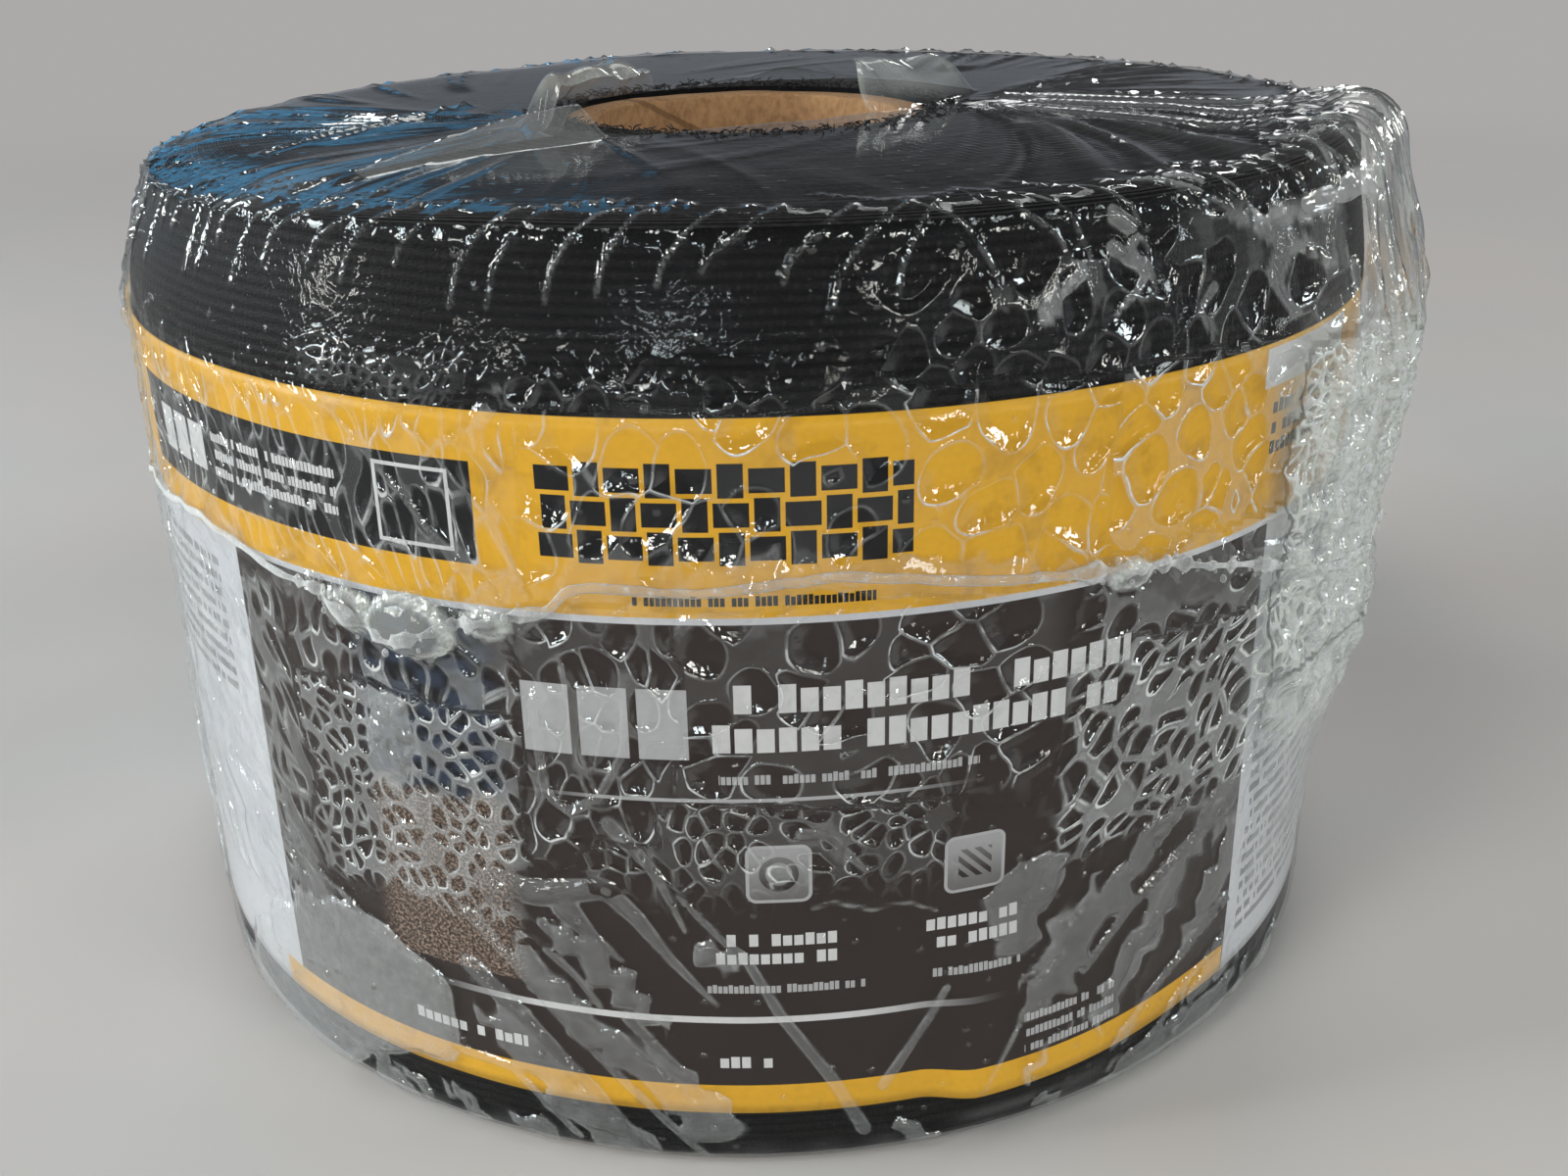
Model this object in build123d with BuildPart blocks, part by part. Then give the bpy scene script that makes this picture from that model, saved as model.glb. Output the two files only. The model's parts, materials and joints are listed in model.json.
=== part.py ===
from build123d import *
import math
import os

# A roll of saturated reinforcing fabric, standing on its end: a strip of black open-weave fabric
# wound on a cardboard core, with a paper label band round it and clear shrink film over the whole.
# Millimetres, +Z up. The origin is on the core's axis at floor level, and the label's front
# panel faces -Y.

# Fabric
fabric_width = 101.6  # a 4 in strip, which is the height of the standing roll
fabric_length = 45720.0  # 150 ft wound on
roll_diameter = 153.0
roll_rim_round = 2.5  # outer corners of the winding, pressed round by the film
roll_taper = 1.9  # how far the winding has slipped in at its upper end
taper_margin = 1.3  # from the label's upper edge up to where the taper starts
groove_width = 0.5  # gap that shows between two groups of turns on an end face
groove_depth = 0.4
turns_in_group = 16

# Core
core_bore = 38.1  # 1.5 in
core_wall = 4.0
core_recess = 0.5  # how far each core end lies below the fabric's end face

# Label band
label_height = 77.5
label_above_base = 7.0  # from the fabric's lower end face to the band's lower edge
paper_thickness = 0.15
paper_clearance = 0.05
label_lap = 16.0  # arc length of the glued overlap, at the back

# Shrink film
film_thickness = 0.2
film_clearance = 0.25
slack_foot = (  # heights above the floor of the slack pocket's lower half, and its reach there
    (24.0, -0.6),
    (46.0, 3.9),
)
slack_brow = (  # depths below the fabric's upper end of its upper half, and its reach there
    (20.8, 6.2),
    (4.8, 3.2),
)
slack_round = 16.0  # radius of the pocket, seen from above
slack_root = 3.0  # how far inside the snug film the pocket's flanks start
slack_bearing = -22.0  # direction of the pocket, in degrees from +X
top_opening_length = 66.0
top_opening_width = 42.5
top_opening_turn = 52.0  # direction of its long axis, in degrees from +X
bottom_opening_diameter = 62.0
seam_height = 66.0  # the welded seam round the side, above the floor
seam_bead = 0.6  # how far the welded edge stands out, and its width

# Radii and heights that follow from those sizes
core_radius = core_bore / 2 + core_wall
roll_radius = roll_diameter / 2
roll_base = film_thickness
roll_top = roll_base + fabric_width
turn_thickness = math.pi * (roll_radius**2 - core_radius**2) / fabric_length
group_width = turns_in_group * turn_thickness
label_radius = roll_radius + paper_clearance + paper_thickness
lap_radius = label_radius + paper_thickness
film_radius = lap_radius + film_clearance + film_thickness
film_height = roll_top + film_clearance + film_thickness
film_rim_round = roll_rim_round + film_clearance + film_thickness
taper_start = roll_base + label_above_base + label_height + taper_margin
slack_places = (*slack_foot, *((roll_top - depth, reach) for depth, reach in slack_brow))


def slack_at(height):
    """How far the slack pocket stands out at a height."""
    for (low, low_reach), (high, high_reach) in zip(slack_places, slack_places[1:]):
        if low <= height <= high:
            return low_reach + (high_reach - low_reach) * (height - low) / (high - low)
    return 0.0


def slack_outline(reach, grow=0.0):
    """The slack pocket seen from above, standing out by a reach and grown by a margin."""
    Circle(film_radius - slack_root + grow)
    with PolarLocations(film_radius + reach - slack_round, 1, start_angle=slack_bearing):
        Circle(slack_round + grow)
    make_hull()


def film_body(inset):
    """The solid that the film goes round, with its faces moved in by a distance."""
    radius = film_radius - inset
    upper_radius = radius - roll_taper
    top = film_height - inset
    with BuildPart() as body:
        with BuildSketch(Plane.XZ):
            with BuildLine():
                Polyline(
                    (0, inset), (radius, inset), (radius, taper_start), (upper_radius, top), (0, top), close=True
                )
            make_face()
        revolve(axis=Axis.Z)
        fillet(body.faces().filter_by(Axis.Z).edges(), film_rim_round - inset)
        for height, reach in slack_places:
            with BuildSketch(Plane.XY.offset(height - inset)):
                slack_outline(reach, -inset)
        with BuildSketch(Plane.XY.offset(film_height - film_rim_round / 4 - inset)):
            slack_outline(-roll_taper, -inset)
        loft(ruled=True)
    return body.part


# Cardboard tube that the fabric is wound on
with BuildPart() as core_tube:
    with BuildSketch(Plane.XY.offset(roll_base + core_recess)):
        Circle(core_radius)
        Circle(core_bore / 2, mode=Mode.SUBTRACT)
    extrude(amount=fabric_width - 2 * core_recess)

# Wound fabric: one turned body, with the edges of its turns showing as rings on both ends
upper_roll_radius = roll_radius - roll_taper
with BuildPart() as fabric_roll:
    with BuildSketch(Plane.XZ):
        with BuildLine():
            Polyline(
                (core_radius, roll_base),
                (roll_radius, roll_base),
                (roll_radius, taper_start),
                (upper_roll_radius, roll_top),
                (core_radius, roll_top),
                close=True,
            )
        make_face()
    revolve(axis=Axis.Z)
    rims = fabric_roll.faces().filter_by(Axis.Z).edges().filter_by(lambda rim: rim.radius > upper_roll_radius - 1)
    fillet(rims, roll_rim_round)
    groove_count = int((upper_roll_radius - roll_rim_round - core_radius - groove_width) / group_width)
    groove_places = [
        (core_radius + group_width * (group + 1), end)
        for group in range(groove_count)
        for end in (roll_base, roll_top)
    ]
    with BuildSketch(Plane.XZ):
        with Locations(*groove_places):
            Rectangle(groove_width, 2 * groove_depth)
    revolve(axis=Axis.Z, mode=Mode.SUBTRACT)

# Paper band, closed by a glued lap at the back
with BuildPart() as label_band:
    with BuildSketch(Plane.XY.offset(roll_base + label_above_base)):
        Circle(label_radius)
        half_lap = math.degrees(label_lap / lap_radius) / 2
        with BuildLine():
            lap_arc = CenterArc((0, 0), lap_radius, 90 - half_lap, 2 * half_lap)
            Polyline(lap_arc @ 1, (0, 0), lap_arc @ 0)
        make_face()
        Circle(label_radius - paper_thickness, mode=Mode.SUBTRACT)
    extrude(amount=label_height)

# Clear film, shrunk round the roll and drawn in over both ends, with its welded seam
seam_reach = slack_at(seam_height)
with BuildPart() as shrink_film:
    add(film_body(0))
    add(film_body(film_thickness), mode=Mode.SUBTRACT)
    with BuildSketch(Plane.XY.offset(film_height)):
        Ellipse(top_opening_length / 2, top_opening_width / 2, rotation=top_opening_turn)
    extrude(amount=-film_height / 2, mode=Mode.SUBTRACT)
    with BuildSketch():
        Circle(bottom_opening_diameter / 2)
    extrude(amount=film_height / 2, mode=Mode.SUBTRACT)
    with BuildSketch(Plane.XY.offset(seam_height - seam_bead / 2)) as seam:
        slack_outline(seam_reach, seam_bead)
        Circle(film_radius + seam_bead)
        with BuildSketch(mode=Mode.SUBTRACT):
            slack_outline(seam_reach, -film_thickness / 2)
            Circle(film_radius - film_thickness / 2)
    extrude(amount=seam_bead)

os.makedirs("parts", exist_ok=True)
for name, piece in (
    ("core_tube", core_tube),
    ("fabric_roll", fabric_roll),
    ("label_band", label_band),
    ("shrink_film", shrink_film),
):
    piece.part.label = name
    export_step(piece.part, f"parts/{name}.step")
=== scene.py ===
"""Dresses a standing roll of reinforcing fabric.

The roll is a strip of black saturated weave wound on a cardboard core, with a printed paper band
round it and clear shrink film over the whole. Sizes are millimetres, and become metres where a mesh
is made. A place on the side is given by its turn, in degrees from the front (-Y) towards +X, and its
height above the floor.
"""

import json
import logging
import math
from dataclasses import dataclass, field, replace
from enum import Enum
from typing import Any, Mapping, Optional, Union

import bpy
import numpy as np
from mathutils import Matrix, Vector

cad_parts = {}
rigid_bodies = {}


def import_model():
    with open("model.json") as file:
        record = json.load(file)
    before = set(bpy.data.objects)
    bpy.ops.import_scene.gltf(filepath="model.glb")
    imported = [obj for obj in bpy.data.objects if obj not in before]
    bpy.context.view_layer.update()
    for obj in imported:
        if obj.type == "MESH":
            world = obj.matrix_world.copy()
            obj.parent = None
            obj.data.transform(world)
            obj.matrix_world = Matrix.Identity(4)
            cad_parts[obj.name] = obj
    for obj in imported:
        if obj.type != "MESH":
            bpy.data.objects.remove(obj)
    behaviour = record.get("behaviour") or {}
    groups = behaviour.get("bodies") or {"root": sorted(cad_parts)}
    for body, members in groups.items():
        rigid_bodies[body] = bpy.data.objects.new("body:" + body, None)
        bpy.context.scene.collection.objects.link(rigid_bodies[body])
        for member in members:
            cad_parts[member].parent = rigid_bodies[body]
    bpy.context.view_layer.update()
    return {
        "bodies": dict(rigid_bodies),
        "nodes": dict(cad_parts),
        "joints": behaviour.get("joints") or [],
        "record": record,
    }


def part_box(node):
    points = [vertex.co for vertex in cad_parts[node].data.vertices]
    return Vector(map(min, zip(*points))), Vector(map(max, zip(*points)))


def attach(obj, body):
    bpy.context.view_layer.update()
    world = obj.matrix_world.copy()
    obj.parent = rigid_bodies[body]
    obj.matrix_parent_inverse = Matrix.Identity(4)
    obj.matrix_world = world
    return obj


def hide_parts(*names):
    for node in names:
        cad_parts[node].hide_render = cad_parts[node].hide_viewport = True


log = logging.getLogger("fabric_roll")

MM = 0.001
FULL_TURN = 2 * math.pi
Colour = tuple[float, float, float]
Field = np.ndarray
Object = bpy.types.Object
Material = bpy.types.Material
Socket = bpy.types.NodeSocket


def ink(red: int, green: int, blue: int) -> Colour:
    """Turn a colour given in screen bytes into the linear one that a shader takes.

    Args:
        red: Red, 0 to 255.
        green: Green, 0 to 255.
        blue: Blue, 0 to 255.

    Returns:
        The linear colour.
    """
    shares = (byte / 255 for byte in (red, green, blue))
    return tuple(share / 12.92 if share < 0.0404 else ((share + 0.055) / 1.055) ** 2.4 for share in shares)


def smooth(x: Field, low: float, high: float) -> Field:
    """Rise smoothly from 0 at low to 1 at high, or fall if low is above high."""
    t = np.clip((x - low) / (high - low), 0.0, 1.0)
    return t * t * (3 - 2 * t)


def plateau(x: Field, low: float, high: float, soft: float) -> Field:
    """Give 1 between low and high, and 0 beyond them by more than soft."""
    return smooth(x, low - soft, low + soft) * smooth(x, high + soft, high - soft)


def around(turn: Field, centre: float) -> Field:
    """Give the signed way from a centre to each turn, in degrees, by the shorter way round."""
    return (turn - centre + 180.0) % 360.0 - 180.0


def put_in_scene(name: str, data: Any) -> Object:
    """Make an object of a mesh, a lamp or a camera, and link it to the scene."""
    made = bpy.data.objects.new(name, data)
    bpy.context.scene.collection.objects.link(made)
    return made


@dataclass(frozen=True)
class RollSizes:
    """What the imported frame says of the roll, in millimetres."""

    fabric_radius: float
    fabric_foot: float
    fabric_top: float
    core_radius: float
    bore_radius: float
    core_foot: float
    core_top: float
    label_radius: float
    label_foot: float
    label_top: float

    @classmethod
    def from_frame(cls, frame: Mapping[str, Any]) -> "RollSizes":
        """Read the sizes from the nodes' boxes and the bore mount.


        Returns:
            The sizes.
        """
        fabric, core, label = (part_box(name) for name in ("fabric_roll", "core_tube", "label_band"))
        bore = next(m for m in frame["record"]["mounts"] if m["name"] == "core_bore")
        return cls(
            fabric_radius=fabric[1].x / MM,
            fabric_foot=fabric[0].z / MM,
            fabric_top=fabric[1].z / MM,
            core_radius=core[1].x / MM,
            bore_radius=bore["dims"]["r_mm"],
            core_foot=core[0].z / MM,
            core_top=core[1].z / MM,
            label_radius=label[1].x / MM,
            label_foot=label[0].z / MM,
            label_top=label[1].z / MM,
        )


class Signal:
    """A number that varies over a surface or a set of points, which Python's operators build on."""

    def __init__(self, graph: "Graph", socket: Socket) -> None:
        """Wrap one output socket of a graph."""
        self.graph = graph
        self.socket = socket

    def maths(self, operation: str, *others: "Number") -> "Signal":
        """Add one Math node with this signal first.

        Args:
            operation: The Math node's operation.
            *others: Its further operands.

        Returns:
            The node's result.
        """
        return self.graph.maths(operation, self, *others)

    def __add__(self, other: "Number") -> "Signal":
        """Add."""
        return self.maths("ADD", other)

    def __sub__(self, other: "Number") -> "Signal":
        """Subtract."""
        return self.maths("SUBTRACT", other)

    def __rsub__(self, other: "Number") -> "Signal":
        """Subtract this from a number."""
        return self.graph.maths("SUBTRACT", other, self)

    def __mul__(self, other: "Number") -> "Signal":
        """Multiply."""
        return self.maths("MULTIPLY", other)

    def __truediv__(self, other: "Number") -> "Signal":
        """Divide."""
        return self.maths("DIVIDE", other)

    def __pow__(self, other: "Number") -> "Signal":
        """Raise to a power."""
        return self.maths("POWER", other)

    def __lt__(self, other: "Number") -> "Signal":
        """Give 1 where this is less."""
        return self.maths("LESS_THAN", other)

    def __gt__(self, other: "Number") -> "Signal":
        """Give 1 where this is more."""
        return self.maths("GREATER_THAN", other)

    def __abs__(self) -> "Signal":
        """Drop the sign."""
        return self.maths("ABSOLUTE")

    def ramp(self, low: float, high: float, start: float = 0.0, end: float = 1.0) -> "Signal":
        """Map this smoothly from low..high to start..end, and hold it there."""
        node = self.graph.node(
            "ShaderNodeMapRange",
            {"interpolation_type": "SMOOTHSTEP"},
            {"Value": self, "From Min": low, "From Max": high, "To Min": start, "To Max": end},
        )
        return Signal(self.graph, node.outputs["Result"])

    __radd__ = __add__
    __rmul__ = __mul__


Number = Union[Signal, float]


class Graph:
    """A node tree that is being built, of a material or of Geometry Nodes."""

    def __init__(self, tree: bpy.types.NodeTree) -> None:
        """Start from a tree."""
        self.tree = tree

    def feed(self, socket: Socket, value: Any) -> None:
        """Link a signal or a socket to an input, or set the input to a plain value."""
        if isinstance(value, Signal):
            self.tree.links.new(value.socket, socket)
        elif isinstance(value, Socket):
            self.tree.links.new(value, socket)
        elif isinstance(value, tuple) and socket.type == "RGBA" and len(value) == 3:
            socket.default_value = (*value, 1.0)
        else:
            socket.default_value = value

    def node(
        self,
        kind: str,
        settings: Optional[Mapping[str, Any]] = None,
        inputs: Optional[Mapping[Union[str, int], Any]] = None,
    ) -> bpy.types.Node:
        """Add a node.

        Args:
            kind: The node's type.
            settings: Its properties, set before its sockets.
            inputs: What its sockets hold or are linked to, by name or index.

        Returns:
            The node.
        """
        made = self.tree.nodes.new(kind)
        for name, value in (settings or {}).items():
            setattr(made, name, value)
        for key, value in (inputs or {}).items():
            self.feed(made.inputs[key], value)
        return made

    def maths(self, operation: str, *operands: Number) -> Signal:
        """Add a Math node and give its result."""
        node = self.node("ShaderNodeMath", {"operation": operation}, dict(enumerate(operands)))
        return Signal(self, node.outputs[0])

    def vector(self, x: Number, y: Number, z: Number) -> Socket:
        """Join three signals or numbers into a vector."""
        return self.node("ShaderNodeCombineXYZ", None, {"X": x, "Y": y, "Z": z}).outputs[0]

    def split(self, vector: Socket) -> tuple[Signal, Signal, Signal]:
        """Give a vector's three parts."""
        node = self.node("ShaderNodeSeparateXYZ", None, {0: vector})
        return tuple(Signal(self, out) for out in node.outputs)

    def noise(self, vector: Socket, scale: float, detail: float = 2.0, rough: float = 0.5) -> Signal:
        """Give smooth noise from about 0 to 1."""
        inputs = {"Vector": vector, "Scale": scale, "Detail": detail, "Roughness": rough}
        return Signal(self, self.node("ShaderNodeTexNoise", None, inputs).outputs[0])

    def speckle(self, x: Number, y: Number) -> Signal:
        """Give a random number for each pair of whole numbers."""
        place = {"Vector": self.vector(x, y, 0.0)}
        node = self.node("ShaderNodeTexWhiteNoise", {"noise_dimensions": "2D"}, place)
        return Signal(self, node.outputs["Value"])

    def mix(self, share: Number, first: Any, second: Any) -> Socket:
        """Mix two colours, by a share of the second."""
        return self.node("ShaderNodeMix", {"data_type": "RGBA"}, {0: share, 6: first, 7: second}).outputs[2]

    def bump(self, height: Signal, depth: float, strength: float = 1.0) -> Socket:
        """Turn a height from 0 to 1 into a normal.

        Args:
            height: The height.
            depth: How much 1 is worth, in millimetres.
            strength: How much of it shows.

        Returns:
            The normal.
        """
        inputs = {"Height": height, "Distance": depth * MM, "Strength": strength}
        return self.node("ShaderNodeBump", None, inputs).outputs["Normal"]


class Surface(Graph):
    """The node tree of one material, with its Principled shader."""

    def __init__(self, name: str) -> None:
        """Start a material of this name."""
        self.material = bpy.data.materials.new(name)
        self.material.use_nodes = True
        super().__init__(self.material.node_tree)
        self.shared: dict[Any, Signal] = {}
        self.shader = next(n for n in self.tree.nodes if n.type == "BSDF_PRINCIPLED")

    def set(self, **values: Any) -> None:
        """Set or link the shader's sockets, named with underscores for spaces."""
        for name, value in values.items():
            self.feed(self.shader.inputs[name.replace("_", " ")], value)

    def scaled(self, vector: Socket, scale: float) -> tuple[Signal, Signal, Signal]:
        """Give a vector's three parts, times a number."""
        node = self.node("ShaderNodeVectorMath", {"operation": "SCALE"}, {0: vector, "Scale": scale})
        return self.split(node.outputs[0])

    def place(self) -> tuple[Signal, Signal, Signal]:
        """Give the place on the object, in millimetres."""
        return self.scaled(self.node("ShaderNodeTexCoord").outputs["Object"], 1 / MM)

    def unrolled(self) -> tuple[Signal, Signal]:
        """Give the place on the unrolled side: the way round from the front and the height."""
        x, z, _ = self.scaled(self.node("ShaderNodeUVMap", {"uv_map": Piece.MAP}).outputs[0], Piece.MAP_SPAN)
        return x - Piece.MAP_SPAN / 2, z

    def painted(self, name: str) -> tuple[Signal, Signal, Signal]:
        """Give the three values that the mesh carries at its points under one name."""
        return self.split(self.node("ShaderNodeAttribute", {"attribute_name": name}).outputs["Vector"])


class Piece:
    """Makes meshes from rows of points that run round the roll."""

    MAP = "unrolled"
    MAP_SPAN = 600.0

    @staticmethod
    def lathe(
        name: str,
        points: Field,
        closed_rows: bool = False,
        closed_columns: bool = True,
        unrolled: Optional[tuple[Field, Field]] = None,
        painted: Optional[Mapping[str, Field]] = None,
    ) -> Object:
        """Make a mesh of a grid of points.

        Rows run from the top's inside, out over the rim, down the side and in under the foot, and
        columns run round by growing turn, so that the faces point outwards.

        Args:
            name: The piece's name.
            points: Rows by columns by three, in millimetres.
            closed_rows: Whether the last row joins the first.
            closed_columns: Whether the last column joins the first.
            unrolled: The way round and the height that the UV map holds, in millimetres, with one
                column more than points where the columns are closed.
            painted: Three values that each point carries, by attribute name.

        Returns:
            The object.
        """
        rows, columns = points.shape[:2]
        row = np.arange(rows if closed_rows else rows - 1)[:, None]
        column = np.arange(columns if closed_columns else columns - 1)[None, :]
        below, beside = (row + 1) % rows, (column + 1) % columns
        corners = ((row, column), (below, column), (below, beside), (row, beside))
        quads = np.stack(np.broadcast_arrays(*(i * columns + j for i, j in corners)), axis=-1).reshape(-1, 4)
        mesh = bpy.data.meshes.new(name)
        mesh.vertices.add(rows * columns)
        mesh.vertices.foreach_set("co", (points * MM).astype(np.float32).ravel())
        mesh.loops.add(quads.size)
        mesh.loops.foreach_set("vertex_index", quads.astype(np.int32).ravel())
        mesh.polygons.add(len(quads))
        mesh.polygons.foreach_set("loop_start", np.arange(0, quads.size, 4, dtype=np.int32))
        mesh.update(calc_edges=True)
        mesh.polygons.foreach_set("use_smooth", np.ones(len(quads), bool))
        if unrolled is not None:
            spots = np.stack(unrolled, axis=-1) / Piece.MAP_SPAN + (0.5, 0.0)
            corners = ((row, column), (below, column), (below, column + 1), (row, column + 1))
            uv = np.stack([spots[corner] for corner in corners], axis=2)
            layer = mesh.uv_layers.new(name=Piece.MAP)
            layer.data.foreach_set("uv", uv.astype(np.float32).ravel())
        for key, values in (painted or {}).items():
            attribute = mesh.attributes.new(key, "FLOAT_VECTOR", "POINT")
            attribute.data.foreach_set("vector", values.astype(np.float32).ravel())
        mesh.update()
        return put_in_scene(name, mesh)

    @staticmethod
    def turned(radius: Field, turn: Field, height: Field) -> Field:
        """Give points from a radius, a turn in degrees and a height."""
        radius, turn, height = np.broadcast_arrays(radius, np.radians(turn), height)
        return np.stack([radius * np.sin(turn), -radius * np.cos(turn), height], axis=-1)

    @staticmethod
    def dress(piece: Object, material: Material, slot: str, *nodes: str) -> Object:
        """Give a piece its material, let it ride on the roll and replace CAD nodes.

        Args:
            piece: The piece.
            material: Its material.
            slot: The record's material slot; not used.
            *nodes: The CAD nodes that it stands for.

        Returns:
            The piece.
        """
        piece.data.materials.clear()
        piece.data.materials.append(material)
        piece.data.polygons.foreach_set("material_index", np.zeros(len(piece.data.polygons), np.int32))
        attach(piece, "root")
        if nodes:
            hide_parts(*nodes)
        log.info("%s: %d faces", piece.name, len(piece.data.polygons))
        return piece


class PointTree(Graph):
    """A Geometry Nodes tree with named inputs, run once on a carrier and turned into a plain mesh."""

    def __init__(self, name: str, sizes: Mapping[str, float]) -> None:
        """Start a tree.

        Args:
            name: The tree's name.
            sizes: Its named inputs and what each is set to, in metres, numbers or radians.
        """
        tree = bpy.data.node_groups.new(name, "GeometryNodeTree")
        super().__init__(tree)
        tree.interface.new_socket("Geometry", in_out="INPUT", socket_type="NodeSocketGeometry")
        tree.interface.new_socket("Geometry", in_out="OUTPUT", socket_type="NodeSocketGeometry")
        self.sizes = dict(sizes)
        new_socket = tree.interface.new_socket
        self.sockets = {key: new_socket(key, in_out="INPUT", socket_type="NodeSocketFloat") for key in sizes}
        self.entry = self.node("NodeGroupInput")

    def make(self, kind: str, **inputs: Any) -> Socket:
        """Add a node that makes or changes geometry and give what it makes.

        Args:
            kind: The node's type, without its prefix.
            **inputs: What its sockets hold or are linked to, named with underscores for spaces.

        Returns:
            The geometry.
        """
        named = {name.replace("_", " "): value for name, value in inputs.items()}
        return self.node("GeometryNode" + kind, None, named).outputs[0]

    def size(self, key: str) -> Signal:
        """Give a named input."""
        return Signal(self, self.entry.outputs[key])

    def random(self, low: Number, high: Number, seed: int) -> Signal:
        """Give a random number for each point."""
        node = self.node("FunctionNodeRandomValue", {"data_type": "FLOAT"}, {2: low, 3: high, "Seed": seed})
        return Signal(self, node.outputs[1])

    def where(self) -> tuple[Signal, Signal, Signal]:
        """Give each point's place, in metres."""
        return self.split(self.node("GeometryNodeInputPosition").outputs[0])

    def run(
        self,
        name: str,
        geometry: Socket,
        material: Material,
        carrier: Optional[Object] = None,
    ) -> Object:
        """Close the tree, run it and give its result as a plain object.

        Args:
            name: The piece's name.
            geometry: What the tree makes.
            material: The piece's material.
            carrier: The object whose geometry it starts from, which is then removed.

        Returns:
            The piece.
        """
        real = self.make("RealizeInstances", Geometry=geometry)
        self.node("NodeGroupOutput", None, {0: self.make("SetMaterial", Geometry=real, Material=material)})
        if carrier is None:
            carrier = put_in_scene(name + "_carrier", bpy.data.meshes.new(name + "_carrier"))
        modifier = carrier.modifiers.new("tree", "NODES")
        modifier.node_group = self.tree
        for key, value in self.sizes.items():
            modifier[self.sockets[key].identifier] = value
        depsgraph = bpy.context.evaluated_depsgraph_get()
        mesh = bpy.data.meshes.new_from_object(carrier.evaluated_get(depsgraph))
        mesh.name = name
        carrier.modifiers.remove(modifier)
        bpy.data.objects.remove(carrier)
        mesh.polygons.foreach_set("use_smooth", np.ones(len(mesh.polygons), bool))
        return put_in_scene(name, mesh)


@dataclass(frozen=True)
class Ripple:
    """Smooth noise that repeats round the roll."""

    seed: int
    around: int
    span: float

    def __call__(self, turn: Field, height: Field) -> Field:
        """Give noise from -1 to 1.

        Args:
            turn: Degrees round the roll.
            height: Millimetres, with one lattice step each span.

        Returns:
            The noise at each place.
        """
        rng = np.random.default_rng(self.seed)
        table = rng.uniform(-1, 1, (self.around, 64))
        a, b = np.broadcast_arrays(turn / 360.0 * self.around, height / self.span)
        i, j = np.floor(a).astype(int), np.floor(b).astype(int)
        p, q = a - i, b - j
        p, q = p * p * (3 - 2 * p), q * q * (3 - 2 * q)
        low = table[i % self.around, j % 64] * (1 - p) + table[(i + 1) % self.around, j % 64] * p
        high = table[i % self.around, (j + 1) % 64] * (1 - p) + table[(i + 1) % self.around, (j + 1) % 64] * p
        return low * (1 - q) + high * q


@dataclass
class Skin:
    """What the film does at each place of a sheet.

    The gap is how far a place lies inside a patch that air lifts, negative where the film touches.
    The veil and the line are how grey such a patch and its outline look. The cells hold where a
    place lies in a foam of cells and their size, and inside is how much the foam shows there.
    """

    lift: Field
    gap: Field
    veil: Field
    line: Field
    haze: Field
    wall: Field
    inside: Field
    cells: Field

    @classmethod
    def flat(cls, shape: tuple[int, ...]) -> "Skin":
        """Start from film that touches everywhere."""
        plain = [np.full(shape, value) for value in (0.0, -1.0, 0.0, 0.0, 0.0, 0.2, 0.0)]
        return cls(*plain, np.ones((*shape, 3)))

    def raise_patch(self, here: Field, inner: Field, lift: Field, veil: float, line: float) -> None:
        """Lift the film over some places.

        Args:
            here: Which places the rest is about.
            inner: How far inside the patch each of them lies, in millimetres.
            lift: How high it is lifted there.
            veil: How grey the patch is.
            line: How pale its outline is.
        """
        owns = inner > np.maximum(self.gap[here], -0.9)
        self.veil[here] = np.where(owns, veil, self.veil[here])
        self.line[here] = np.where(owns, line, self.line[here])
        self.gap[here] = np.maximum(self.gap[here], inner)
        self.lift[here] = np.maximum(self.lift[here], lift)

    def painted(self) -> dict[str, Field]:
        """Give the values that the finish reads."""
        gap, haze = np.clip(self.gap, -1.0, 2.0), np.clip(self.haze, 0.0, 0.7)
        return {
            "cells": self.cells,
            "foam": np.stack([self.wall, self.veil, self.line], axis=-1),
            "cling": np.stack([self.inside, gap, haze], axis=-1),
        }


@dataclass(frozen=True)
class Foam:
    """One patch of small bubbles: how large, long and leaning they are, how they look, and where.

    The size is a bubble's width, the stretch its length over its width, and the heading is where
    its length points, in degrees from level.
    """

    size: float
    stretch: float
    heading: float
    wall: float
    veil: float
    line: float
    turns: tuple[float, float]
    runs: tuple[float, float]
    soft: float = 2.5

    def spread(self, skin: Skin, turn: Field, run: Field, radius: float) -> None:
        """Fill a part of the film with these cells, where no other foam shows more.

        Args:
            skin: The film.
            turn: Degrees round.
            run: The run up the section.
            radius: The film's radius, in millimetres.
        """
        middle, half = sum(self.turns) / 2, (self.turns[1] - self.turns[0]) / 2
        off = around(turn, middle)
        inside = plateau(off, -half, half, self.soft) * plateau(run, *self.runs, self.soft)
        here = inside > skin.inside
        way, up = np.radians(off[here]) * radius, run[here]
        cos, sin = math.cos(math.radians(self.heading)), math.sin(math.radians(self.heading))
        u = (up * cos - way * sin) / self.size + 90.0
        v = (way * cos + up * sin) / (self.size * self.stretch) + middle
        skin.cells[here] = np.stack([u, v, np.full(u.shape, self.size)], axis=-1)
        skin.wall[here] = self.wall
        skin.veil[here] = self.veil
        skin.line[here] = self.line
        skin.inside[here] = inside[here]


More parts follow.
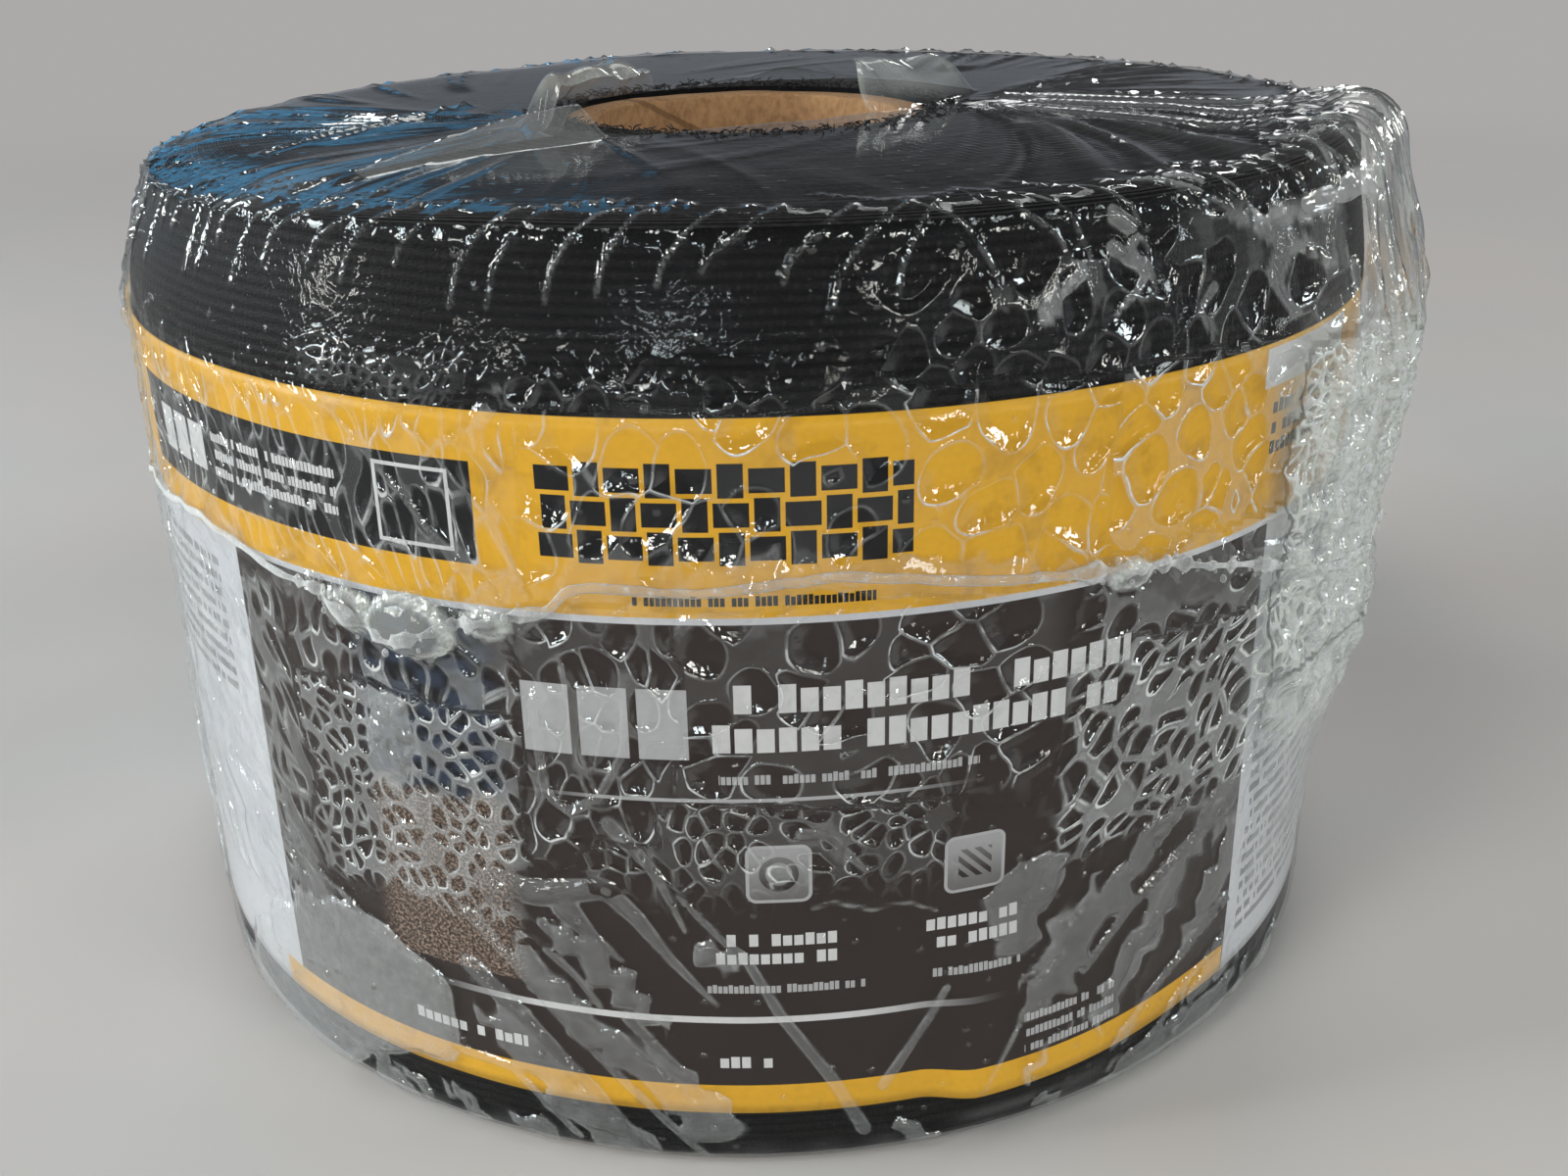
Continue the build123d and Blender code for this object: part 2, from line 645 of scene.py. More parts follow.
@dataclass(frozen=True)
class Fold:
    """One fold in the film: a tapering band along a line of places on a flat sheet."""

    line: tuple[tuple[float, float], ...]
    start: float
    end: float
    rise: float
    veil: float = 0.16
    edge: float = 0.2

    def lay(self, a: Field, b: Field, skin: Skin, period: float = 1e6) -> None:
        """Add the fold to a sheet.

        Args:
            a: The sheet's first coordinate, in millimetres.
            b: Its second coordinate.
            skin: The film there.
            period: The length after which the first coordinate repeats.
        """
        line = np.array(self.line, float)
        middle = (line[:, 0].min() + line[:, 0].max()) / 2
        margin = max(self.start, self.end) + 1.2
        shifted = (a - middle + period / 2) % period - period / 2 + middle
        near = (shifted > line[:, 0].min() - margin) & (shifted < line[:, 0].max() + margin)
        near &= (b > line[:, 1].min() - margin) & (b < line[:, 1].max() + margin)
        u, v = shifted[near], b[near]
        best = np.full(u.shape, -9.0)
        steps = len(line) - 1
        for k in range(steps):
            (x0, y0), (x1, y1) = line[k], line[k + 1]
            dx, dy = x1 - x0, y1 - y0
            t = np.clip(((u - x0) * dx + (v - y0) * dy) / (dx * dx + dy * dy + 1e-9), 0, 1)
            width = self.start + (self.end - self.start) * (k + t) / steps
            best = np.maximum(best, width - np.hypot(u - x0 - t * dx, v - y0 - t * dy))
        width = max(self.start, self.end)
        raised = self.rise * smooth(best, -0.45, width) * (0.35 + 0.65 * smooth(best, -0.2, width))
        skin.raise_patch(near, best, raised, self.veil, self.edge)


@dataclass(frozen=True)
class Meridian:
    """A half section of the roll: up the side, over the rim and in along the top, and under the foot.

    A place on it is its run. On the side the run is the height. Past the rim it goes on growing
    along the top towards the axis, and under the foot it falls below the foot's height. Towards the
    top the wound turns have slipped in a little, most of all at the left.
    """

    radius: float
    foot: float
    top: float
    rim_round: float
    foot_round: float
    taper: float = 1.9
    slump: float = 2.6
    slump_turn: float = -92.0

    @property
    def rim_start(self) -> float:
        """Give the run at which the side turns into the rim."""
        return self.top - self.rim_round

    @property
    def top_start(self) -> float:
        """Give the run at which the rim turns into the top."""
        return self.rim_start + self.rim_round * math.pi / 2

    @property
    def side_start(self) -> float:
        """Give the run at which the foot's round turns into the side."""
        return self.foot + self.foot_round

    @property
    def sole_start(self) -> float:
        """Give the run at which the sole turns up into the foot's round."""
        return self.side_start - self.foot_round * math.pi / 2

    def run_on_top(self, radius: Field) -> Field:
        """Give the run of a radius on the top."""
        return self.top_start + (self.radius - self.taper - self.rim_round - radius)

    def run_on_sole(self, radius: Field) -> Field:
        """Give the run of a radius on the sole."""
        return self.sole_start - (self.radius - self.foot_round - radius)

    def place(self, turn: Field, run: Field, lift: Field) -> Field:
        """Place points on the section, or off it along its normal.

        Args:
            turn: Degrees round.
            run: The runs.
            lift: Millimetres off the section.

        Returns:
            The points.
        """
        rim = np.clip((run - self.rim_start) / self.rim_round, 0, math.pi / 2)
        heel = np.clip((self.side_start - run) / self.foot_round, 0, math.pi / 2)
        inward = np.maximum(run - self.top_start, 0) + np.maximum(self.sole_start - run, 0)
        radius = self.radius - inward - self.taper * smooth(run, 84.0, self.rim_start + 1.0)
        radius = radius - self.rim_round * (1 - np.cos(rim)) - self.foot_round * (1 - np.cos(heel))
        height = np.clip(run, self.side_start, self.rim_start)
        height = height + self.rim_round * np.sin(rim) - self.foot_round * np.sin(heel)
        slumped = smooth(np.cos(np.radians(turn - self.slump_turn)), 0.2, 0.95)
        middle = (self.rim_start + self.top_start) / 2
        off = lift - self.slump * slumped * np.exp(-(((run - middle) / 7.0) ** 2))
        out, up = np.cos(rim) * np.cos(heel), np.sin(rim) - np.sin(heel)
        return Piece.turned(radius + out * off, turn, height + up * off)


@dataclass(frozen=True)
class Crease:
    """The place low on the band where the paper buckled and stands off the roll."""

    kink: float = 17.5
    end: float = 45.0
    rise: float = 2.0
    fade: float = 34.0

    def rise_at(self, turn: Field, height: Field) -> Field:
        """Give how far the paper stands off, in millimetres."""
        way = around(turn, 0.0)
        buckle = smooth(way, self.kink - 5.0, self.kink) * smooth(way, self.end, self.kink)
        return self.rise * buckle * smooth(height, self.fade, 5.0)


@dataclass(frozen=True)
class FabricFinish:
    """Black cotton weave, soaked in asphalt."""

    body: Colour = ink(6, 6, 7)
    # The colour of wear, shown only on the row crests, so it also serves as a painted sheen there.
    worn_and_crest_sheen: Colour = ink(52, 49, 50)
    lint: Colour = ink(84, 82, 84)
    row_pitch: float = 1.06

    def side(self) -> Material:
        """Make the finish of the wound side, with its broken rows of weft, whose grooves are painted darker
        as shade.
        """
        s = Surface("saturated_fabric_side")
        x, y, z = s.place()
        way, height = s.unrolled()
        lit_crest_shaded_groove, _, _ = s.painted("weft")
        row = (height / self.row_pitch).maths("FLOOR")
        dash = s.noise(s.vector(way * 1.6, row * 7.0, 0.0), 1.0, 2.0)
        grain = s.noise(s.vector(way * 2.6, height * 5.0, 0.0), 1.0, 3.0)
        patch = s.noise(s.vector(x, y, z), 0.06, 3.0)
        wear = dash.ramp(0.45, 0.8) * patch.ramp(0.3, 0.75) + grain.ramp(0.55, 0.85) * 0.5 + 0.12
        # Painted shade and sheen: the wear shows only on the row crests, so the grooves between the rows stay
        # dark as painted shade.
        wear = wear * lit_crest_shaded_groove.ramp(0.35, 0.95, 0.0, 1.1)
        s.set(
            Base_Color=s.mix(wear, self.body, self.worn_and_crest_sheen),
            Roughness=grain.ramp(0.3, 0.8, 0.42, 0.66),
            Specular_IOR_Level=0.1,
            Normal=s.bump(dash + grain, 0.16, 0.8),
        )
        return s.material

    def ends(self) -> Material:
        """Make the finish of the cut edges of the turns."""
        s = Surface("saturated_fabric_ends")
        x, y, z = s.place()
        radius = (x * x + y * y).maths("SQRT")
        bearing = x.maths("ARCTAN2", y)
        lint = s.noise(s.vector(bearing * 90.0, radius * 2.0, z), 1.0, 3.0, 0.6)
        patch = s.noise(s.vector(x, y, z), 0.12, 4.0)
        ring = s.noise(s.vector(radius * 1.4, 0.0, 4.0), 1.0, 3.0, 0.7)
        wear = lint.ramp(0.4, 0.85) * 0.45 + ring.ramp(0.42, 0.72) * (0.3 + patch * 0.6)
        s.set(
            Base_Color=s.mix(wear, self.body, self.lint),
            Roughness=lint.ramp(0.3, 0.8, 0.55, 0.85),
            Specular_IOR_Level=0.25,
            Normal=s.bump(lint + patch, 0.2, 0.7),
        )
        return s.material


@dataclass(frozen=True)
class BoardFinish:
    """Grey-brown spiral-wound core board."""

    face: Colour = ink(176, 138, 98)
    dark: Colour = ink(120, 90, 62)
    ply: float = 0.55

    def make(self) -> Material:
        """Make the finish, with fibres, the plies on its ends and the winding seam inside."""
        s = Surface("core_board")
        x, y, z = s.place()
        radius = (x * x + y * y).maths("SQRT")
        bearing = x.maths("ARCTAN2", y)
        fibre = s.noise(s.vector(bearing * 22.0, z * 0.7, radius * 3.0), 1.0, 5.0, 0.65)
        blot = s.noise(s.vector(x, y, z), 0.09, 3.0)
        plies = ((radius / self.ply) * FULL_TURN).maths("SINE") * 0.5 + 0.5
        pitch = z / 62.0 + bearing / FULL_TURN
        seam = abs(pitch - pitch.maths("FLOOR") - 0.5).ramp(0.010, 0.003)
        shade = fibre.ramp(0.35, 0.7) * 0.5 + blot.ramp(0.35, 0.65) * 0.3 + plies * 0.15 + seam * 0.6
        s.set(
            Base_Color=s.mix(shade, self.face, self.dark),
            Roughness=fibre.ramp(0.2, 0.8, 0.75, 0.95),
            Specular_IOR_Level=0.25,
            Normal=s.bump(fibre + plies * 0.4 - seam, 0.12, 0.8),
        )
        return s.material


@dataclass(frozen=True)
class FilmFinish:
    """Clear shrink film: it mirrors as plastic does, and shows grey where air lies under it."""

    milk: Colour = ink(222, 227, 228)
    shade: Colour = ink(206, 214, 208)
    head_on: float = 0.018
    bent: float = 0.1
    glancing: float = 0.85

    def make(self) -> Material:
        """Make the finish from where the film touches and how milky it is, with a painted highlight on one
        side of each bubble's outline.
        """
        s = Surface("clear_film")
        x, y, z = s.place()
        u, v, size = s.painted("cells")
        wall, veil, line = s.painted("foam")
        inside, laid, haze = s.painted("cling")
        spot = s.vector(x, y, z)
        fine = s.noise(spot, 0.9, 2.0, 0.6)
        broad = s.noise(spot, 0.24, 2.0)
        crisp = s.noise(spot, 1.5, 3.0, 0.7)
        crushed = haze.ramp(0.26, 0.46)
        place = {"Vector": s.vector(u, v, 0.0), "Scale": 1.0, "Randomness": 0.9}
        centres = s.node("ShaderNodeTexVoronoi", {"voronoi_dimensions": "2D"}, place)
        to_edge = {"voronoi_dimensions": "2D", "feature": "DISTANCE_TO_EDGE"}
        edges = s.node("ShaderNodeTexVoronoi", to_edge, place)
        pick, other, _ = s.split(centres.outputs["Color"])
        border = Signal(s, edges.outputs["Distance"]) * size
        _, middle, _ = s.split(centres.outputs["Position"])
        # Painted highlight: each bubble's outline is painted paler on the side of lower v, as if lit there,
        # and paler or dimmer at random from bubble to bubble.
        painted_highlight_side = (v - middle).ramp(-0.45, 0.35, 1.25, 0.35) * (0.6 + other * 0.7)
        radius = (Signal(s, centres.outputs["Distance"]) - pick * 0.25 - 0.42) * size
        foam = (wall - border).maths("MAXIMUM", radius) + (other > 0.93) * 1.5 - (1.0 - inside) * 0.5
        gap = foam.maths("MAXIMUM", laid)
        shown = inside.ramp(0.35, 0.95).maths("MAXIMUM", (laid - foam).ramp(-0.05, 0.05))
        lifted = gap.ramp(-0.06, 0.16)
        outline = abs(gap).ramp(0.16, 0.03)
        pits = s.node("ShaderNodeTexVoronoi", None, {"Vector": spot, "Scale": 0.4, "Randomness": 1.0})
        keep, _, _ = s.split(pits.outputs["Color"])
        pit = Signal(s, pits.outputs["Distance"]).ramp(0.24, 0.02) * (keep > 0.5)
        weight = s.node("ShaderNodeLayerWeight", None, {"Blend": 0.5})
        bent = abs(foam / size + 0.13).ramp(0.15, 0.04) * (middle - v).ramp(-0.12, 0.16) * inside
        bent = bent.maths("MAXIMUM", abs(gap).ramp(0.3, 0.08) * shown * 0.7)
        bent = bent.maths("MAXIMUM", pit.ramp(0.05, 0.4))
        rim = z.ramp(99.4, 100.4) * z.ramp(102.3, 101.7) * fine.ramp(0.42, 0.58)
        bent = bent.maths("MAXIMUM", rim).maths("MAXIMUM", haze.ramp(0.2, 0.45) * fine.ramp(0.48, 0.58))
        mirror = Signal(s, weight.outputs["Facing"]) ** 5.0 * self.glancing + bent * self.bent + self.head_on
        body = veil * (0.45 + fine * 0.6 + broad * 0.3) * gap.ramp(0.3, 1.6, 1.0, 0.8)
        broken = broad.ramp(0.38, 0.6, 0.1, 1.0) * fine.ramp(0.3, 0.6, 0.5, 1.0)
        # Patches that air lifts get the painted highlight round their whole outline.
        painted_highlight_side = painted_highlight_side.maths("MAXIMUM", (laid - foam).ramp(-0.05, 0.05, 0.0, 0.9))
        cloud = (lifted * body + outline * line * broken * painted_highlight_side) * shown
        milky = haze * (0.6 + fine * 0.8 + (crisp - 0.5) * crushed * 2.4).maths("MAXIMUM", 0.1)
        cloud = (cloud + milky).maths("MINIMUM", 0.9) + 0.003
        cover = mirror + cloud
        ridge = abs(gap).ramp(0.4, 0.0) * line * 0.2 * shown
        dish = (foam / size).ramp(-0.36, 0.04) * size * pick.ramp(0.0, 0.7, 0.1, 0.2) * inside
        band = laid.ramp(-0.3, 0.9) * 0.4
        taut = z.ramp(100.8, 102.2, 1.0, 0.1)
        slow = z.ramp(84.0, 90.0, 0.5, 0.16)
        relief = dish + band + ridge + (fine * 0.12 + broad * slow + pit * 0.35) * taut
        murk = fine.ramp(0.35, 0.65) * haze.ramp(0.0, 0.25)
        s.set(
            Base_Color=s.mix(murk, self.milk, self.shade),
            Metallic=mirror / cover,
            Roughness=0.08,
            Alpha=cover.maths("MINIMUM", 1.0),
            Normal=s.bump(relief, 1.0, 0.85),
        )
        return s.material

    def weld(self) -> Material:
        """Make the finish of the melted film along the weld, clearer in its middle than at its edges."""
        s = Surface("melted_film")
        x, y, z = s.place()
        lump = s.noise(s.vector(x, y, z), 0.8, 3.0, 0.6)
        weight = s.node("ShaderNodeLayerWeight", None, {"Blend": 0.5})
        rim = Signal(s, weight.outputs["Facing"]).ramp(0.2, 0.8, 0.16, 0.95)
        s.set(
            Base_Color=self.milk,
            Roughness=0.16,
            Alpha=rim + lump.ramp(0.5, 0.75, 0.0, 0.36),
            Normal=s.bump(lump, 0.3, 0.6),
        )
        return s.material


class Ink(Enum):
    """The inks of the printed band."""

    AMBER = ink(228, 174, 44)
    PANEL = ink(48, 40, 37)
    WHITE = ink(214, 216, 217)
    SILVER = ink(178, 180, 182)
    BLACK = ink(13, 13, 16)
    GREY = ink(120, 122, 126)


@dataclass(frozen=True)
class Mark:
    """A printed block, in millimetres round the band from the front and up from the floor."""

    ink: Ink
    left: float
    right: float
    foot: float
    top: float

    def mask(self, s: Surface, way: Signal, height: Signal) -> Signal:
        """Give 1 inside the block and 0 outside."""
        across = abs(way - (self.left + self.right) / 2) < (self.right - self.left) / 2
        up = abs(height - (self.foot + self.top) / 2) < (self.top - self.foot) / 2
        return across * up


@dataclass(frozen=True)
class Hairline(Mark):
    """A printed line that thins out towards its ends."""

    def mask(self, s: Surface, way: Signal, height: Signal) -> Signal:
        """Give 1 on the line, falling to 0 at its ends."""
        half = (self.right - self.left) / 2
        fade = abs(way - (self.left + self.right) / 2).ramp(half, half * 0.45)
        return super().mask(s, way, height) * fade


@dataclass(frozen=True)
class Frame(Mark):
    """A printed outline."""

    line: float = 0.4

    def mask(self, s: Surface, way: Signal, height: Signal) -> Signal:
        """Give 1 on the outline."""
        w = self.line
        inner = Mark(self.ink, self.left + w, self.right - w, self.foot + w, self.top - w)
        return super().mask(s, way, height) - inner.mask(s, way, height)


class Wording(Enum):
    """The sizes of the small plain blocks that stand where the real band has wording.

    Each is the width of a block's cell, the height of a row, the part of the row that blocks fill
    and the share of the cells that are left empty.
    """

    SMALL = (0.55, 1.9, 0.55, 0.16)
    MEDIUM = (1.15, 2.2, 0.66, 0.14)
    LARGE = (2.15, 4.25, 0.72, 0.14)

    def pattern(self, s: Surface, way: Signal, height: Signal) -> Signal:
        """Cover the band with rows of blocks of this size.

        Args:
            s: The surface.
            way: Millimetres round.
            height: Millimetres up.

        Returns:
            1 on the blocks.
        """
        wide, pitch, fill, empty = self.value
        row, column = height / pitch, way / wide
        line, block = row.maths("FLOOR"), column.maths("FLOOR")
        tall = s.speckle(block, line + 11.0).ramp(0.3, 0.7, fill * 0.84, fill)
        return ((row - line) < tall) * ((column - block) > 0.2) * (s.speckle(block, line + 3.0) > empty)


@dataclass(frozen=True)
class Filler(Mark):
    """A patch of wording blocks."""

    size: Wording = Wording.SMALL

    def mask(self, s: Surface, way: Signal, height: Signal) -> Signal:
        """Give 1 on the blocks."""
        if self.size not in s.shared:
            s.shared[self.size] = self.size.pattern(s, way, height)
        return super().mask(s, way, height) * s.shared[self.size]


@dataclass(frozen=True)
class Blocks(Mark):
    """Three upright blocks side by side."""

    def mask(self, s: Surface, way: Signal, height: Signal) -> Signal:
        """Give 1 on the blocks."""
        pitch = (self.right - self.left) / 2.84
        return super().mask(s, way, height) * (((way - self.left) / pitch).maths("FRACT") < 0.84)


@dataclass(frozen=True)
class Weave(Mark):
    """A strip of plain basket weave."""

    strand: float = 3.3

    def mask(self, s: Surface, way: Signal, height: Signal) -> Signal:
        """Give 1 on the strands."""
        a = (way - self.left) / self.strand
        b = (height - self.foot) / self.strand
        i, j = a.maths("FLOOR"), b.maths("FLOOR")
        parity = ((i + j) * 0.5).maths("FRACT") > 0.25
        p, q = abs(a - i - 0.5), abs(b - j - 0.5)
        lying = (q < 0.36) * (1 - parity)
        upright = (p < 0.36) * parity
        return super().mask(s, way, height) * lying.maths("MAXIMUM", upright)


@dataclass(frozen=True)
class Badge(Mark):
    """A small rounded square with a plain figure in it."""

    bars: bool = False

    def mask(self, s: Surface, way: Signal, height: Signal) -> Signal:
        """Give the badge's brightness, from its dark foot to its pale head, less the figure."""
        half = (self.right - self.left) / 2
        x = way - (self.left + self.right) / 2
        z = height - (self.foot + self.top) / 2
        corner = 1.1
        a = (abs(x) - (half - corner)).maths("MAXIMUM", 0.0)
        b = (abs(z) - ((self.top - self.foot) / 2 - corner)).maths("MAXIMUM", 0.0)
        reach = (a * a + b * b).maths("SQRT")
        body = reach < corner
        rim = reach > corner - 0.35
        glow = z.ramp(-half, half, 0.3, 0.85)
        if self.bars:
            figure = ((x + z) / 1.5).maths("FRACT").maths("LESS_THAN", 0.5) * (abs(x) < half * 0.55)
            figure = figure * (abs(z) < half * 0.5)
        else:
            ring = abs((x * x + z * z).maths("SQRT") - half * 0.5)
            figure = ring < 0.33
        return body * (glow - figure * 0.45).maths("MAXIMUM", rim)


@dataclass(frozen=True)
class PaperFinish:
    """The printed paper: an amber head, a dark panel and white information panels."""

    marks: tuple[Mark, ...] = (
        Mark(Ink.AMBER, -400, 400, 65.3, 90),
        Mark(Ink.PANEL, -60.8, 61.4, 0, 64.6),
        Mark(Ink.PANEL, 152, 400, 0, 64.6),
        Mark(Ink.PANEL, -400, -160, 0, 64.6),
        Mark(Ink.AMBER, -64.4, 61.2, 0, 10.9),
        Mark(Ink.AMBER, 152, 400, 0, 10.9),
        Mark(Ink.AMBER, -400, -160, 0, 10.9),
        Mark(Ink.BLACK, -82, -26, 69.5, 79.8),
        Mark(Ink.BLACK, 96, 152, 69.5, 79.8),
        Weave(Ink.BLACK, -19.5, 15.5, 70.6, 80.5),
        Filler(Ink.BLACK, -11, 12, 66.5, 68.4),
        Mark(Ink.WHITE, 58, 78, 80, 84.2),
        Filler(Ink.BLACK, 60, 76, 72.6, 79.2, Wording.MEDIUM),
        Blocks(Ink.WHITE, -76.5, -64.5, 72.2, 77.2),
        Filler(Ink.WHITE, -62.5, -42, 72.2, 77.9),
        Frame(Ink.WHITE, -37, -28.4, 70.6, 78.8),
        Blocks(Ink.WHITE, 101, 113, 72.2, 77.2),
        Filler(Ink.WHITE, 116, 140, 72.2, 77.9),
        Blocks(Ink.SILVER, -22.8, -6.2, 50.2, 57.8),
        Filler(Ink.WHITE, -4.3, 40.1, 51.0, 59.5, Wording.LARGE),
        Filler(Ink.SILVER, -3.4, 22.8, 47.5, 49.4),
        Hairline(Ink.SILVER, -24.6, 23.7, 45.5, 45.9),
        Hairline(Ink.WHITE, -39, 27, 19.0, 19.8),
        Badge(Ink.SILVER, -1.1, 5.6, 33.8, 40.5),
        Badge(Ink.SILVER, 19.3, 26.0, 32.7, 39.4, bars=True),
        Filler(Ink.WHITE, -4.6, 8.05, 26.4, 30.8, Wording.MEDIUM),
        Filler(Ink.SILVER, -5.5, 11.0, 22.8, 24.7),
        Filler(Ink.WHITE, 17.25, 27.6, 26.4, 30.8, Wording.MEDIUM),
        Filler(Ink.SILVER, 17.6, 28, 22.8, 24.7),
        Filler(Ink.WHITE, -40.2, -25.7, 13.2, 15.4, Wording.MEDIUM),
        Filler(Ink.WHITE, -4.6, 2.3, 13.2, 15.4, Wording.MEDIUM),
        Filler(Ink.SILVER, 28.5, 40.5, 11.4, 17.1),
        Filler(Ink.GREY, -94, -66, 45.6, 62.7),
        Filler(Ink.GREY, 64, 146, 11.4, 62.7),
        Filler(Ink.GREY, -152, -100, 11.4, 62.7),
        Filler(Ink.WHITE, 172, 232, 51, 59.5, Wording.LARGE),
        Filler(Ink.SILVER, 172, 225, 22.8, 41.8),
    )
    picture: Mark = Mark(Ink.PANEL, -44.0, -24.0, 22.0, 64.6)

    def make(self) -> Material:
        """Make the finish: the marks painted in order over white paper, and the picture over them."""
        s = Surface("printed_paper")
        way, height = s.unrolled()
        x, y, z = s.place()
        tooth = s.noise(s.vector(x, y, z), 1.6, 3.0)
        cloud = s.noise(s.vector(x, y, z), 0.05, 2.0)
        colour = s.mix(cloud.ramp(0.3, 0.7), ink(214, 217, 222), ink(200, 204, 210))
        soaked = s.noise(s.vector(way, height, 2.0), 0.2, 3.0, 0.65)
        amber = s.mix(soaked.ramp(0.5, 0.74, 0.0, 0.3), Ink.AMBER.value, ink(132, 92, 26))
        pending: list[Mark] = []
        for index, mark in enumerate(self.marks):
            pending.append(mark)
            last = index + 1 == len(self.marks) or self.marks[index + 1].ink is not mark.ink
            if last:
                covered = pending[0].mask(s, way, height)
                for other in pending[1:]:
                    covered = covered + other.mask(s, way, height)
                print_ink = amber if mark.ink is Ink.AMBER else mark.ink.value
                colour = s.mix(covered.maths("MINIMUM", 1.0), colour, print_ink)
                pending = []
        colour = self.paint_picture(s, way, height, colour)
        s.set(
            Base_Color=s.mix(tooth.ramp(0.35, 0.7, 0.0, 0.05), colour, ink(30, 28, 26)),
            Roughness=tooth.ramp(0.3, 0.7, 0.34, 0.46),
            Specular_IOR_Level=0.25,
            Normal=s.bump(tooth, 0.03, 0.5),
        )
        return s.material

    def paint_picture(self, s: Surface, way: Signal, height: Signal, under: Any) -> Socket:
        """Paint the patch that shows a dark weave over brown granules.

        Args:
            s: The surface.
            way: Millimetres round.
            height: Millimetres up.
            under: The colour beneath.

        Returns:
            The colour with the picture on it.
        """
        spot = s.vector(way, height, 0.0)
        grit = s.noise(spot, 2.8, 2.0, 0.75)
        sway = s.noise(s.vector(way * 0.12, 0.0, 7.0), 1.0, 2.0)
        rock = s.mix(grit.ramp(0.42, 0.7), ink(52, 42, 36), ink(178, 156, 140))
        strand = ((way * 0.9).maths("SINE") * (height * 1.7).maths("SINE")).ramp(-0.4, 0.6)
        cloth = s.mix(strand, ink(14, 16, 22), ink(46, 56, 74))
        edge = (height - 36.0 - sway * 14.0).ramp(-1.0, 1.0)
        fade = abs(way - (self.picture.left + self.picture.right) / 2).ramp(10.0, 6.5)
        shown = self.picture.mask(s, way, height) * fade
        return s.mix(shown, under, s.mix(edge, rock, cloth))


@dataclass
class WoundFabric:
    """The fabric itself: the wound side, the edges of its turns on both ends, and loose threads."""

    sizes: RollSizes
    finish: FabricFinish = FabricFinish()
    columns: int = 236
    side_rows: int = 365
    ridge: float = 0.15
    rim_round: float = 2.5
    step: float = 0.3
    tail: float = 152.0
    turns: int = 146
    points_per_turn: int = 96
    edge_width: float = 0.2
    threads: int = 1500
    meridian: Meridian = field(init=False)

    def __post_init__(self) -> None:
        """Work out the section that the fabric's outside follows."""
        s = self.sizes
        self.meridian = Meridian(
            s.fabric_radius - self.ridge, s.fabric_foot, s.fabric_top, self.rim_round, self.rim_round
        )

    def body(self) -> Object:
        """Make the wound side with its rows of weft, its rounded rims and its ends."""
        s, m = self.sizes, self.meridian
        inner = s.core_radius + 0.05
        run = np.concatenate([
            np.linspace(m.run_on_top(inner), m.top_start, 9)[:-1],
            np.linspace(m.top_start, m.rim_start, 10)[:-1],
            np.linspace(m.rim_start, m.side_start, self.side_rows),
            np.linspace(m.side_start, m.sole_start, 10)[1:],
            np.linspace(m.sole_start, m.run_on_sole(inner), 9)[1:],
        ])
        turn = np.arange(self.columns) / self.columns * 360.0
        turns, runs = np.meshgrid(turn, run)
        on_side = plateau(runs, m.sole_start, m.top_start, 1.0)
        wander = Ripple(11, 40, 9.0)(turns, runs) * 0.22
        rows = np.abs(np.sin(math.pi * (runs + wander) / self.finish.row_pitch))
        wound = ((turns - self.tail) % 360.0) / 360.0
        sway = 0.08 * Ripple(12, 14, 30.0)(turns, runs)
        lift = on_side * (self.ridge * rows - self.step * (1 - wound) + sway)
        points = m.place(turns, runs, lift)
        bore = np.array([0.0, 0.0, 6.0])
        points = np.concatenate([points[:1] - bore, points, points[-1:] + bore])
        # The row crests go to the side's finish, which paints the grooves between them darker as shade.
        crests = np.concatenate([rows[:1], rows, rows[-1:]]) * plateau(points[..., 2], 3.0, 99.5, 1.0)
        weft = {"weft": np.stack([crests, 0 * crests, 0 * crests], axis=-1)}
        ways = np.radians(np.append(turn, 360.0) - 180.0)[None, :] * s.fabric_radius
        ups = points[:, :1, 2]
        shape = (len(points), self.columns + 1)
        unrolled = (np.broadcast_to(ways, shape), np.broadcast_to(ups, shape))
        piece = Piece.lathe("fabric_body", points, unrolled=unrolled, painted=weft)
        return Piece.dress(piece, self.finish.side(), "saturated_fabric", "fabric_roll")

    def turn_edges(self, upper: bool) -> Object:
        """Wind the edges of the turns on one end as one long spiral.

        Args:
            upper: Whether this is the upper end.

        Returns:
            The piece.
        """
        s, m = self.sizes, self.meridian
        slip = m.taper if upper else 0.0
        tree = PointTree(
            "turn_edges",
            {
                "inner radius": (s.core_radius + 0.35) * MM,
                "outer radius": (s.fabric_radius - slip - 0.6) * MM,
                "turns": float(self.turns),
                "edge width": self.edge_width * MM,
                "unevenness": 0.17 * MM,
            },
        )
        spiral = tree.make(
            "CurveSpiral",
            Resolution=self.points_per_turn,
            Rotations=tree.size("turns"),
            Start_Radius=tree.size("inner radius"),
            End_Radius=tree.size("outer radius"),
            Height=0.0,
        )
        x, y, _ = tree.where()
        radius = (x * x + y * y).maths("SQRT")
        wide = tree.noise(tree.vector(x, y, 0.0), 90.0, 3.0)
        fine = tree.noise(tree.vector(x, y, 0.4), 900.0, 2.0)
        ring = tree.noise(tree.vector(radius, 0.0, 0.2), 1500.0, 2.0)
        rise = (wide * 0.8 + fine * 0.8 + ring * 1.4 - 1.6) * tree.size("unevenness")
        lifted = tree.make("SetPosition", Geometry=spiral, Offset=tree.vector(0.0, 0.0, rise))
        profile = tree.make("CurvePrimitiveCircle", Resolution=3, Radius=tree.size("edge width"))
        swept = tree.make("CurveToMesh", Curve=lifted, Profile_Curve=profile, Fill_Caps=True)
        name = "fabric_turns_upper" if upper else "fabric_turns_lower"
        material = self.finish.ends()
        piece = tree.run(name, swept, material)
        self.settle(piece, upper)
        return Piece.dress(piece, material, "saturated_fabric", "fabric_roll")

